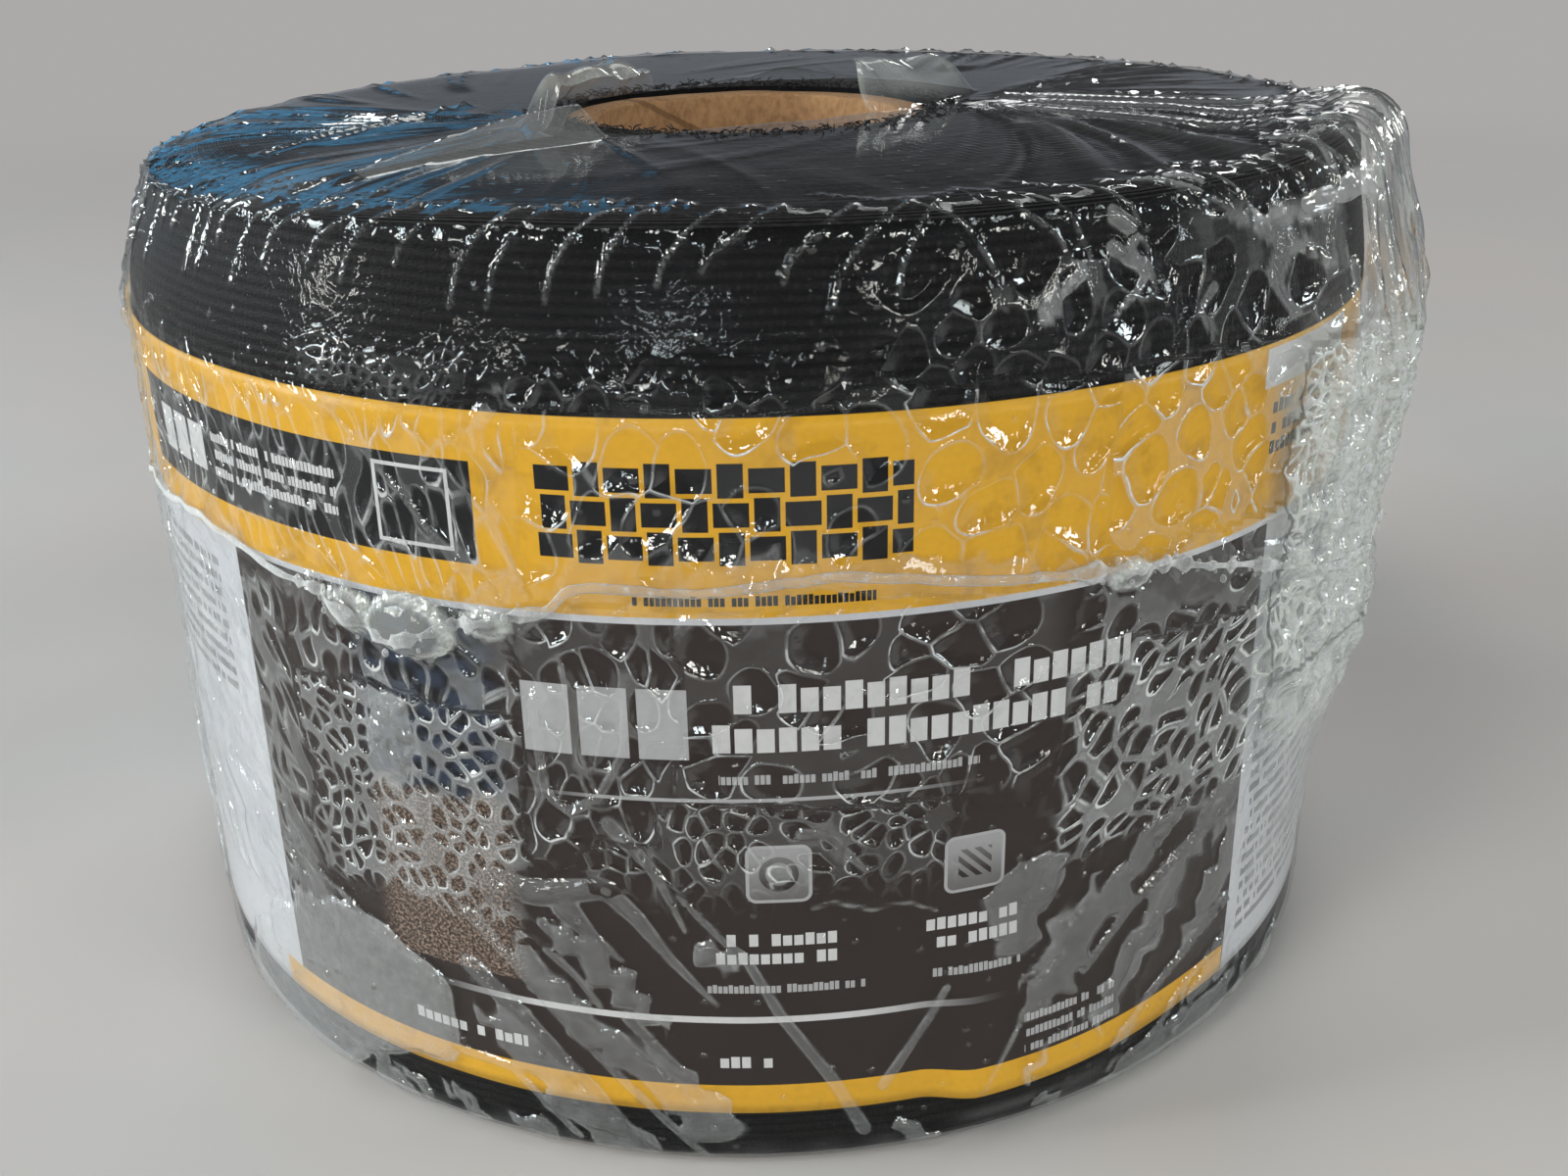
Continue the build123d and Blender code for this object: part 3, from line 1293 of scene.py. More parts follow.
    def settle(self, piece: Object, upper: bool) -> None:
        """Lay a flat spiral on one end of the roll, over its rounded rim."""
        m = self.meridian
        flat = np.empty(len(piece.data.vertices) * 3, np.float32)
        piece.data.vertices.foreach_get("co", flat)
        x, y, lift = flat.reshape(-1, 3).astype(float).T / MM
        radius = np.hypot(x, y)
        corner = m.radius - m.rim_round - (m.taper if upper else 0.0)
        bend = m.rim_round * np.arcsin(np.clip((radius - corner) / m.rim_round, 0.0, 0.98))
        if upper:
            run = np.where(radius > corner, m.top_start - bend, m.run_on_top(radius))
        else:
            run = np.where(radius > corner, m.sole_start + bend, m.run_on_sole(radius))
        points = m.place(np.degrees(np.arctan2(x, -y)), run, lift) * MM
        piece.data.vertices.foreach_set("co", points.astype(np.float32).ravel())
        if not upper:
            piece.data.flip_normals()
        piece.data.update()

    def loose_threads(self) -> Object:
        """Scatter the frayed threads that lie round the core at the upper end."""
        s = self.sizes
        tree = PointTree(
            "loose_threads",
            {
                "inner radius": (s.core_radius + 0.4) * MM,
                "spread": 4.5 * MM,
                "length": 1.9 * MM,
                "thickness": 0.1 * MM,
                "level": s.fabric_top * MM,
            },
        )
        ring = tree.make("CurvePrimitiveCircle", Resolution=self.threads, Radius=tree.size("inner radius"))
        x, y, _ = tree.where()
        chance = tree.random(0.0, 1.0, 21)
        out = tree.size("spread") * chance * chance / tree.size("inner radius")
        offset = tree.vector(x * out, y * out, tree.size("level"))
        scattered = tree.make("SetPosition", Geometry=ring, Offset=offset)
        thread = tree.make(
            "CurvePrimitiveBezierSegment",
            Resolution=4,
            Start=(0.0, 0.0, -0.25),
            Start_Handle=(0.1, 0.0, 0.25),
            End_Handle=(0.3, 0.1, 0.35),
            End=(0.7, 0.3, 0.22),
        )
        slim = tree.size("thickness") / tree.size("length")
        section = tree.make("CurvePrimitiveCircle", Resolution=3, Radius=slim)
        swept = tree.make("CurveToMesh", Curve=thread, Profile_Curve=section, Fill_Caps=True)
        scale = tree.size("length") * tree.random(0.4, 1.0, 22)
        tip, lean = tree.random(-0.4, 0.4, 23), tree.random(-0.4, 0.4, 24)
        turn = tree.random(0.0, FULL_TURN, 25)
        planted = tree.make(
            "InstanceOnPoints",
            Points=scattered,
            Instance=swept,
            Rotation=tree.vector(tip, lean, turn),
            Scale=tree.vector(scale, scale, scale),
        )
        material = self.finish.ends()
        piece = tree.run("fabric_loose_threads", planted, material)
        return Piece.dress(piece, material, "saturated_fabric", "fabric_roll")

    def build(self) -> list[Object]:
        """Build and dress every piece of the fabric."""
        return [self.body(), self.turn_edges(True), self.turn_edges(False), self.loose_threads()]


@dataclass
class Core:
    """The cardboard tube that the fabric is wound on."""

    sizes: RollSizes
    finish: BoardFinish = BoardFinish()
    columns: int = 160
    softening: float = 0.5

    def build(self) -> list[Object]:
        """Build the tube, with bruised and softened ends."""
        s = self.sizes
        inner, outer = s.bore_radius, s.core_radius
        a = self.softening
        arc = np.linspace(0, math.pi / 2, 5)
        ends = [(inner + a * (1 - math.cos(t)), s.core_top - a + a * math.sin(t)) for t in arc]
        ends += [(inner + 1.6, s.core_top + 0.02), (outer - 1.6, s.core_top)]
        ends += [(outer - a * (1 - math.sin(t)), s.core_top - a + a * math.cos(t)) for t in arc]
        shaft = np.linspace(s.core_top - 3, s.core_foot + 3, 20)
        foot = [(r, s.core_foot + s.core_top - h) for r, h in ends[::-1]]
        section = np.array(ends + [(outer, h) for h in shaft] + foot + [(inner, h) for h in shaft[::-1]])
        turn = np.arange(self.columns) / self.columns * 360.0
        turns, heights = np.meshgrid(turn, section[:, 1])
        radii = np.repeat(section[:, :1], self.columns, axis=1)
        near_end = smooth(np.abs(heights - 51.0), 47.0, 50.3)
        bruise = near_end * Ripple(31, 22, 1.3)(turns, heights + radii) * 0.16
        bruise = bruise + near_end * Ripple(32, 60, 0.5)(turns, heights + radii) * 0.07
        points = Piece.turned(radii + bruise, turns, heights + bruise * np.sign(51.0 - heights) * 0.6)
        piece = Piece.lathe("core_tube_board", points, closed_rows=True)
        return [Piece.dress(piece, self.finish.make(), "core_cardboard", "core_tube")]


@dataclass
class PaperBand:
    """The printed band, one strip of paper lapped on itself at the back."""

    sizes: RollSizes
    crease: Crease
    finish: PaperFinish = PaperFinish()
    start: float = -174.0
    sweep: float = 372.0
    columns: int = 560
    rows: int = 56
    thickness: float = 0.12

    def build(self) -> list[Object]:
        """Build the strip, bent round the roll with its buckle low at the front right."""
        s = self.sizes
        turn = np.linspace(self.start, self.start + self.sweep, self.columns)
        height = np.linspace(s.label_top, s.label_foot, self.rows)
        turns, heights = np.meshgrid(turn, height)
        over = smooth(turns, self.start + 360.0 - 5.0, self.start + 360.0 - 0.5)
        under = smooth(turns, self.start + 14.0, self.start + 9.0)
        waves = Ripple(41, 16, 26.0)(turns, heights) * 0.06 + Ripple(42, 70, 9.0)(turns, heights) * 0.03
        radius = s.label_radius - 0.14 + waves * (1 - over) * (1 - under) + 0.16 * over
        radius = radius + self.crease.rise_at(turns, heights)
        points = Piece.turned(radius, turns, heights)
        ways = np.radians(turns) * s.label_radius
        piece = Piece.lathe("label_band_paper", points, closed_columns=False, unrolled=(ways, heights))
        wall = piece.modifiers.new("thickness", "SOLIDIFY")
        wall.thickness = self.thickness * MM
        wall.offset = -1.0
        return [Piece.dress(piece, self.finish.make(), "label_paper", "label_band")]


@dataclass(frozen=True)
class Flap:
    """A tongue of film that curls up at the hole in the top."""

    turn: float
    spread: float
    reach: float
    height: float
    droop: float

    def extent(self, turn: Field) -> Field:
        """Give how far the film runs on past the hole's line, in millimetres."""
        t = np.clip(1 - (around(turn, self.turn) / self.spread) ** 2, 0, 1)
        return self.reach * t**0.7


@dataclass(frozen=True)
class Blister:
    """A round pocket of air under the film, as a dome on the side."""

    turn: float
    run: float
    wide: float
    tall: float
    rise: float


@dataclass
class ShrinkFilm:
    """The clear film: an upper and a lower sheet that meet in a melted weld round the side."""

    sizes: RollSizes
    crease: Crease
    finish: FilmFinish = FilmFinish()
    columns: int = 800
    seam: tuple[tuple[float, float], ...] = (
        (-64, 65.5), (-49, 66.9), (-40, 64.4), (-33, 63.7), (-27, 60.6), (-22, 63.2), (-16, 65.1),
        (-13.8, 65.6), (-13.2, 67.7), (-11, 68.4), (-4, 68.0), (0, 68.4), (6.4, 69.5), (16, 67.6),
        (24, 66.6), (33, 65.1), (45, 60.5), (53, 57.2), (75, 56.0), (100, 60.0), (128, 64.5),
        (160, 66.0), (196, 62.5), (236, 66.5), (268, 67.0),
    )
    hole: tuple[tuple[float, float], ...] = (
        (-36, 34.3), (-32, 32.5), (-26, 29.6), (-16, 23.7), (0, 19.3), (15, 18.2), (48, 18.0), (68, 20.0),
        (89, 24.0), (111, 33.0), (142, 33.4), (180, 26.6), (212, 22.5), (232, 21.5), (258, 23.0),
        (285, 27.0), (305, 31.5),
    )
    flaps: tuple[Flap, ...] = (
        Flap(-84.0, 36.0, 13.0, 5.4, 2.3),
        Flap(-122.0, 20.0, 7.0, 3.4, 2.0),
        Flap(86.0, 26.0, 9.0, 5.6, 1.5),
        Flap(170.0, 26.0, 4.0, 2.0, 1.8),
    )
    gathers: tuple[tuple[float, float], ...] = ((-25.0, -9.0), (27.0, 5.0))
    foams: tuple[Foam, ...] = (
        Foam(1.7, 3.4, 113, 0.3, 0.22, 0.4, (-66, -38), (20, 64), 4.0),
        Foam(1.9, 1.25, 120, 0.2, 0.28, 0.6, (-39, -17), (29, 55)),
        Foam(2.4, 1.9, 98, 0.16, 0.2, 0.6, (-39, -17), (54, 66)),
        Foam(3.4, 1.3, 95, 0.07, 0.05, 0.62, (-18, -4), (38, 67)),
        Foam(5.0, 1.1, 30, 0.09, 0.05, 0.62, (-6, 23), (44, 67)),
        Foam(2.3, 1.0, 0, 0.08, 0.07, 0.55, (-14, 16), (35, 46)),
        Foam(2.2, 1.8, 38, 0.26, 0.36, 0.85, (23, 47), (33, 58)),
        Foam(3.6, 1.35, 24, 0.14, 0.2, 0.6, (24, 47), (56, 68)),
        Foam(1.2, 1.4, 70, 0.2, 0.45, 0.8, (45, 68), (46, 84), 4.0),
        Foam(1.0, 4.6, 40, 0.34, 0.3, 0.3, (47, 74), (14, 47), 4.0),
        Foam(5.4, 1.25, 70, 0.05, 0.03, 0.6, (-16, 28), (66, 87)),
        Foam(4.6, 1.15, 40, 0.12, 0.16, 0.75, (26, 47), (66, 87)),
        Foam(2.1, 2.8, 100, 0.08, 0.06, 0.5, (-64, -14), (65, 86), 4.0),
        Foam(1.2, 1.1, 20, 0.1, 0.04, 0.12, (-34, -19), (84, 91), 3.0),
        Foam(4.4, 1.2, 50, 0.05, 0.01, 0.14, (9, 36), (85, 97), 4.0),
        Foam(3.0, 1.2, 40, 0.05, 0.01, 0.12, (-19, 9), (83, 89), 3.0),
        Foam(5.0, 1.3, 55, 0.09, 0.04, 0.45, (30, 52), (84, 99), 3.0),
        Foam(2.0, 3.6, 84, 0.6, 0.42, 0.3, (60, 92), (46, 103), 5.0),
        Foam(2.2, 2.2, 62, 0.26, 0.16, 0.4, (92, 134), (22, 66), 6.0),
        Foam(2.8, 1.2, 130, 0.24, 0.15, 0.45, (134, 192), (28, 66), 6.0),
        Foam(5.2, 1.1, 20, 0.08, 0.04, 0.36, (192, 238), (30, 66), 6.0),
        Foam(2.0, 2.8, 112, 0.3, 0.17, 0.4, (236, 296), (22, 66), 6.0),
        Foam(4.8, 1.2, 75, 0.05, 0.03, 0.34, (90, 298), (66, 88), 8.0),
    )
    combs: tuple[tuple[float, float, float, float, float, float, float], ...] = (
        (17, 50, 6, 36, 50, 2.6, 0.0), (-60, -36, 19, 36, -64, 1.7, -0.1), (-24, 0, 3, 30, -48, 3.4, 0.35),
        (-62, -22, 0, 7, -44, 2.2, -0.05), (-22, 28, 0, 6, -50, 2.4, 0.3), (28, 62, 0, 7, 44, 2.0, 0.05),
        (64, 118, 3, 40, 56, 3.0, 0.05), (120, 176, 3, 38, -52, 3.2, 0.1),
        (178, 236, 3, 40, 55, 3.4, 0.15), (238, 296, 3, 40, -56, 3.0, 0.05),
    )
    slack: tuple[tuple[float, float], ...] = (
        (20, 0), (30, 1.2), (36, 2.6), (42, 3.0), (49, 4.6), (55, 3.6), (64, 4.6), (73.5, 5.6), (81, 6.3),
        (92, 5.0), (97, 4.6), (102, 3.4), (106, 1.6), (116, 0),
    )
    blisters: tuple[Blister, ...] = (
        Blister(-25.5, 62.2, 5.2, 3.4, 2.1), Blister(-31.2, 62.6, 3.6, 2.3, 1.5),
        Blister(-18.9, 63.9, 2.6, 1.7, 1.0), Blister(29.0, 65.0, 2.6, 1.6, 0.9),
        Blister(140.0, 61.5, 4.2, 2.8, 1.6), Blister(221.0, 62.5, 3.6, 2.6, 1.4),
    )
    patches: tuple[Blister, ...] = (
        Blister(-28.3, 48.0, 2.6, 8.0, 0.55), Blister(-37.5, 15.0, 16.5, 10.0, 0.7),
        Blister(-45.5, 8.0, 13.0, 8.5, 0.6), Blister(94.0, 30.0, 4.0, 9.0, 0.6),
        Blister(170.0, 26.0, 8.0, 6.0, 0.6), Blister(262.0, 24.0, 5.0, 9.0, 0.6),
    )
    side_folds: tuple[Fold, ...] = (
        Fold(((-23.3, 29.9), (-19.4, 24.2), (-14.4, 15.9), (-3.9, 0.4)), 0.9, 0.35, 0.8),
        Fold(((-23.6, 22.8), (-19.8, 18.2), (-16.2, 12.9), (-13.6, 9.2), (-8.7, 0.3)), 1.3, 0.6, 0.8),
        Fold(
            ((-20.4, 34.0), (-16.9, 33.7), (-11.6, 35.2), (-9.2, 31.9), (-6.9, 27.4), (-3.3, 21.5)),
            1.9, 0.2, 0.9,
        ),
        Fold(((-16.8, 30.1), (-15.1, 27.4), (-12.0, 25.5)), 0.6, 0.2, 0.5),
        Fold(((-14.8, 32.2), (-13.0, 29.4), (-10.5, 26.4)), 1.5, 0.15, 0.7),
        Fold(((-16.5, 26.7), (-14.5, 24.2), (-12.6, 20.5)), 0.5, 0.3, 0.5),
        Fold(((-10.8, 42.8), (-7.5, 37.5), (-5.5, 30.6)), 0.9, 0.15, 0.6),
        Fold(((-5.9, 34.9), (-3.1, 30.3), (-1.0, 27.5), (1.6, 20.1), (5.5, 11.7), (8.1, 4.4)), 0.3, 0.7, 0.7),
        Fold(((-10.3, 19.2), (-7.4, 14.5), (-5.4, 12.1)), 0.7, 0.2, 0.5),
        Fold(((-44.4, 30.7), (-36.1, 26.1), (-32.4, 22.8)), 0.35, 0.3, 0.6),
        Fold(((-27.1, 11.1), (-20.8, 10.3), (-15.1, 2.6)), 0.7, 0.3, 0.6),
        Fold(((3.5, 41.9), (5.3, 41.7), (8.3, 37.1)), 0.7, 0.3, 0.6),
        Fold(((4.2, 33.3), (5.8, 33.8), (8.6, 32.5), (11.3, 32.9), (13.7, 31.4)), 0.2, 0.15, 0.4),
        Fold(((14.7, 21.8), (13.0, 17.3), (9.6, 10.0)), 0.3, 0.6, 0.5),
        Fold(((37.6, 35.9), (32.6, 30.2), (28.3, 25.4), (22.3, 19.6), (17.5, 8.1)), 0.5, 0.2, 0.9),
        Fold(((43.6, 32.2), (36.0, 28.4), (31.3, 24.8), (26.8, 19.5)), 0.9, 0.5, 0.8),
        Fold(((44.7, 18.4), (40.4, 16.1), (33.9, 11.7), (30.1, 7.5)), 0.8, 0.4, 0.8),
        Fold(((44.7, 12.7), (38.6, 9.8), (33.6, 3.8)), 0.7, 0.4, 0.8),
        Fold(
            ((-15.9, 57.0), (-15.6, 45.8), (-13.8, 43.9), (-11.4, 45.9), (-9.4, 51.0), (-8.7, 58.5)),
            0.5, 0.35, 1.1,
        ),
        Fold(((-13.5, 60.0), (-12.8, 52.0), (-11.8, 47.0)), 0.3, 0.15, 0.8),
        Fold(((-31.0, 84.0), (-25.0, 76.0), (-20.5, 69.0)), 0.15, 0.5, 0.8),
        Fold(((-23.0, 82.0), (-17.5, 74.0), (-16.0, 68.0)), 0.1, 0.3, 0.6),
        Fold(((29.0, 104.5), (38.6, 98.8), (49.4, 91.5)), 0.25, 0.2, 0.6, 0.3, 0.3),
        Fold(((33.2, 103.6), (40.0, 99.0), (49.6, 92.0)), 0.3, 0.2, 0.6, 0.3, 0.3),
        Fold(((40.7, 96.8), (45.7, 97.6), (55.0, 98.7)), 0.2, 1.5, 0.8, 0.42, 0.4),
        Fold(((26.8, 100.1), (28.7, 98.3), (27.8, 96.0), (29.3, 94.8)), 0.9, 0.3, 0.7, 0.26, 0.3),
        Fold(((26.6, 97.2), (29.7, 95.1), (28.6, 93.0), (26.6, 91.1)), 0.7, 0.2, 0.6, 0.26, 0.3),
        Fold(((23.9, 95.3), (22.5, 93.8), (21.2, 92.2)), 0.7, 0.2, 0.5, 0.34, 0.3),
        Fold(((36.0, 92.0), (34.6, 90.4), (35.4, 88.0)), 0.6, 0.2, 0.6, 0.2),
        Fold(((44.5, 94.5), (43.0, 91.0), (45.5, 87.0)), 0.8, 0.15, 0.8, 0.24),
        Fold(((56.5, 100.0), (57.0, 84.0), (58.0, 66.0)), 0.5, 0.4, 1.2),
    )
    top_folds: tuple[Fold, ...] = (
        Fold(
            ((-18.5, -27.0), (-24.0, -32.0), (-29.0, -37.0), (-34.0, -44.0), (-39.0, -52.0)),
            3.4, 1.2, 3.8, 0.5, 0.4,
        ),
        Fold(((-40.0, -7.0), (-47.0, -18.0), (-52.0, -33.0)), 0.7, 0.4, 0.8),
        Fold(((-36.7, 4.5), (-43.4, -14.3), (-46.3, -22.0)), 0.6, 0.3, 0.8),
        Fold(((30.8, -8.0), (47.7, -23.0), (55.9, -32.2), (60.1, -44.3), (58.0, -54.0)), 1.1, 0.9, 0.8),
        Fold(((33.0, 2.0), (49.0, -5.0), (62.0, -10.0), (70.4, -17.7)), 1.0, 0.9, 0.8),
        Fold(((36.0, -4.0), (52.0, -12.0), (64.0, -24.0)), 0.9, 0.8, 0.7),
    )
    meridian: Meridian = field(init=False)

    def __post_init__(self) -> None:
        """Work out the section that the film follows."""
        s = self.sizes
        self.meridian = Meridian(s.label_radius + 0.2, 0.03, s.fabric_top + 0.32, 2.7, 2.6)

    def turns(self) -> Field:
        """Give the turn of each column, closer together over the front, where the print is read."""
        even = np.linspace(-180.0, 180.0, 721)
        share = np.cumsum(1 + 1.3 * plateau(even, -80.0, 84.0, 18.0))
        share = (share - share[0]) / (share[-1] - share[0])
        return np.interp(np.arange(self.columns) / self.columns, share, even)

    def seam_at(self, turn: Field) -> Field:
        """Give the height of the weld."""
        turns, heights = zip(*self.seam)
        near = [np.interp(turn + d, turns, heights, period=360.0) for d in (-0.6, -0.2, 0.2, 0.6)]
        return sum(near) / 4 + 0.12 * Ripple(51, 60, 9.0)(turn, np.zeros_like(turn))

    def hole_at(self, turn: Field) -> Field:
        """Give the radius of the hole's edge."""
        turns, radii = zip(*self.hole)
        near = [np.interp(turn + d, turns, radii, period=360.0) for d in (-4.0, -1.5, 1.5, 4.0)]
        return sum(near) / 4 + 0.35 * Ripple(52, 44, 9.0)(turn, np.zeros_like(turn))

    def made_up_folds(self) -> list[Fold]:
        """Draw the folds that follow a rule: pleats over the rim, and slack and foot folds."""
        rng = np.random.default_rng(81)
        made: list[Fold] = []
        turn = -176.0
        while turn < 176.0:
            turn += rng.uniform(2.0, 5.5)
            lean = rng.uniform(0.7, 1.3) * (1.0 if turn < 15 else -1.0)
            reach, rise = rng.uniform(3.0, 8.0), rng.uniform(0.25, 0.55)
            line = (
                (turn + 7.5 * lean, 100.5 + reach * 1.2),
                (turn + 3.2 * lean, 104.0),
                (turn, 100.6),
                (turn - 1.6 * lean, 100.6 - reach * 0.5),
                (turn - 2.2 * lean, 100.6 - reach),
            )
            made.append(Fold(line, 0.12, 0.16, rise, 0.1, rng.uniform(0.06, 0.2)))
        slack_corner, back_foot, back_head = (50, 80, 44, 100), (84, 298, 6, 46), (84, 298, 66, 96)
        for region, count, share in ((slack_corner, 40, 0.4), (back_foot, 60, 1.0), (back_head, 30, 1.0)):
            low, high, foot, head = region
            for _ in range(count):
                turn, up = rng.uniform(low, high), rng.uniform(foot, head)
                lean, length = share * rng.uniform(-7, 7), rng.uniform(5, 15)
                line = ((turn, up + length), (turn + lean * 0.35, up), (turn + lean, up - length))
                wide = rng.uniform(0.1, 0.5, 2)
                made.append(Fold(line, *wide, rng.uniform(0.3, 0.9), rng.uniform(0.05, 0.16)))
        return made

    def comb(self, skin: Skin, turn: Field, run: Field, index: int) -> None:
        """Comb long leaning bands over a part of the side.

        Args:
            skin: The film.
            turn: Degrees round.
            run: The run up the section.
            index: Which comb this is.
        """
        left, right, foot, top, heading, spacing, floor = self.combs[index]
        middle = (left + right) / 2
        way = np.radians(around(turn, middle)) * self.meridian.radius
        cos, sin = math.cos(math.radians(heading)), math.sin(math.radians(heading))
        along, across = way * cos + run * sin, -way * sin + run * cos
        across = across + 1.6 * Ripple(120 + index, 36, 9.0)(along * 6.0, across)
        bands = Ripple(130 + index, 36, 14.0)(across * 10.0 / spacing, along + 60.0)
        fine = Ripple(140 + index, 36, 8.0)(across * 24.0 / spacing, along + 60.0)
        inside = plateau(around(turn, middle), left - middle, right - middle, 4.0)
        inside = inside * plateau(run, foot, top, 2.0)
        inner = (bands + 0.35 * fine - floor) * spacing * 0.7 - (1 - inside) * 3.0
        here = inner > -1.5
        skin.raise_patch(here, inner[here], 0.6 * smooth(inner[here], -0.7, 1.6), 0.21, 0.25)

    def relief(self, turn: Field, run: Field) -> Skin:
        """Work out the film on the side and over the rim.

        Args:
            turn: Degrees round.
            run: The run up the section.

        Returns:
            The film.
        """
        m = self.meridian
        way = np.radians(turn) * m.radius
        warped_way = way + 1.3 * Ripple(101, 60, 8.0)(turn, run) + 0.45 * Ripple(102, 190, 2.6)(turn, run)
        warped_run = run + 1.3 * Ripple(103, 60, 8.0)(turn, run) + 0.45 * Ripple(104, 190, 2.6)(turn, run)
        warped_turn = np.degrees(warped_way / m.radius)
        skin = Skin.flat(turn.shape)
        for foam in self.foams:
            foam.spread(skin, warped_turn, warped_run, m.radius)
        skin.lift += 0.2 * skin.inside * (1 + Ripple(106, 160, 3.0)(turn, run))
        for index in range(len(self.combs)):
            self.comb(skin, turn, run, index)
        everywhere = np.ones(turn.shape, bool)
        for dome in self.patches:
            inner = self.dome_gap(dome, warped_turn, warped_run) + 1.2 * Ripple(105, 90, 4.0)(turn, run)
            inner = np.minimum(inner, 2.0).ravel()
            skin.raise_patch(everywhere, inner, dome.rise * smooth(inner, -0.6, 1.5), 0.39, 0.3)
        degree = m.radius * math.radians(1.0)
        for fold in (*self.side_folds, *self.made_up_folds()):
            laid = replace(fold, line=tuple((t * degree, r) for t, r in fold.line))
            laid.lay(way, run, skin, degree * 360.0)
        for dome in self.blisters:
            inner = self.dome_gap(dome, turn, run)
            share = np.clip(inner / min(dome.wide, dome.tall), 0, 1)
            skin.inside = np.where(inner > -0.3, 0.0, skin.inside)
            skin.gap = np.where(inner > -0.4, np.minimum(inner, 0.5), skin.gap)
            skin.veil = np.where(inner > -0.4, 0.14, skin.veil)
            skin.lift = np.maximum(skin.lift, dome.rise * np.sqrt(share * (2 - share)))
            ring = 0.5 * smooth(np.abs(inner - 0.35), 0.6, 0.1)
            skin.haze = np.maximum(skin.haze, ring + 0.16 * (inner > 0))
        self.finish_relief(skin, turn, run)
        return skin

    def dome_gap(self, dome: Blister, turn: Field, run: Field) -> Field:
        """Give how far each place is inside a dome's outline, in millimetres."""
        way = np.radians(around(turn, dome.turn)) * self.meridian.radius
        reach = np.hypot(way / dome.wide, (run - dome.run) / dome.tall)
        return (1 - reach) * min(dome.wide, dome.tall)

    def finish_relief(self, skin: Skin, turn: Field, run: Field) -> None:
        """Add the ruck along the weld, the crumple, the slack corner, the rim's puckers and the foot.

        Args:
            skin: The film.
            turn: Degrees round.
            run: The run up the section.
        """
        m = self.meridian
        a = around(turn, 0.0)
        below = self.seam_at(turn) - run
        ruck = np.abs(Ripple(53, 150, 60.0)(turn + below * 0.3, run))
        reach = 1.5 + 6.0 * np.abs(Ripple(50, 40, 60.0)(turn, run))
        near = smooth(np.abs(below), reach, 0.3)
        here = near > 0.02
        inner = ((near * 0.75 - ruck) * 1.1)[here]
        skin.raise_patch(here, inner, 0 * inner, 0.12, 0.16)
        skin.lift = skin.lift + near * (0.1 + 0.3 * (1 - ruck))
        crumple = plateau(a, 46, 66, 4) * plateau(run, 38, 84, 6)
        ridged = 1 - np.abs(Ripple(54, 190, 2.6)(turn, run)) - 0.5 * np.abs(Ripple(55, 330, 1.6)(turn, run))
        skin.lift = skin.lift + crumple * ridged * 1.1
        skin.haze = skin.haze + crumple * (0.34 + 0.45 * np.clip(ridged, 0, 1))
        runs, reaches = zip(*self.slack)
        slack = np.interp(run, runs, reaches) * smooth(np.abs(around(turn, 68.0)), 27.0, 6.0)
        loose = smooth(slack, 0.5, 4.0)
        skin.lift = skin.lift + slack + loose * 0.5 * Ripple(48, 110, 14.0)(turn, run)
        skin.haze = skin.haze + loose * 0.1 * (1 + Ripple(47, 200, 9.0)(turn, run))
        beads = plateau(run, 98.0, m.top_start + 0.5, 1.0)
        uneven = 0.5 + 0.5 * Ripple(49, 30, 60.0)(turn, run)
        skin.lift = skin.lift + beads * 0.3 * Ripple(56, 250, 2.4)(turn, run) * uneven
        skin.lift = skin.lift + plateau(run, 4, 97, 3) * 0.08 * Ripple(57, 34, 14.0)(turn, run)
        skin.lift = skin.lift + self.crease.rise_at(turn, run) * smooth(run, 2.0, 7.0)
        fringe = smooth(run, 4.5, 0.5) * smooth(run, m.sole_start - 4.0, m.sole_start)
        skin.haze = skin.haze + fringe * 0.045 * (1 + Ripple(58, 150, 3.0)(turn, run))
        skin.lift = skin.lift * smooth(run, m.sole_start, m.side_start + 1.5)

    def streaks(self, x: Field, y: Field) -> Field:
        """Give the taut creases on the top, which fan out from the two ends of the hole.

        Args:
            x: Millimetres along X.
            y: Millimetres along Y.

        Returns:
            Millimetres of lift.
        """
        total = np.zeros(x.shape)
        for index, (cx, cy) in enumerate(self.gathers):
            distance = np.hypot(x - cx, y - cy)
            bearing = np.degrees(np.arctan2(y - cy, x - cx)) + distance * 0.25
            share = smooth((x - cx) * np.sign(cx) / (distance + 1e-6), -0.9, 0.5)
            near = smooth(distance, 2.0, 12.0) * (1 - 0.35 * smooth(distance, 30.0, 75.0))
            sharp = 1 - np.abs(Ripple(91 + index, 64 + 20 * index, 50.0)(bearing, distance)) * 2.0
            fine = 1 - np.abs(Ripple(95 + index, 200, 40.0)(bearing, distance)) * 2.2
            calm = smooth(Ripple(97 + index, 20, 22.0)(bearing, distance), -0.5, 0.5)
            ridge = np.clip(sharp, 0, 1) ** 2 * 0.5 + np.clip(fine, 0, 1) ** 2 * (0.03 + 0.1 * index)
            total = total + ridge * near * share * calm
        return total

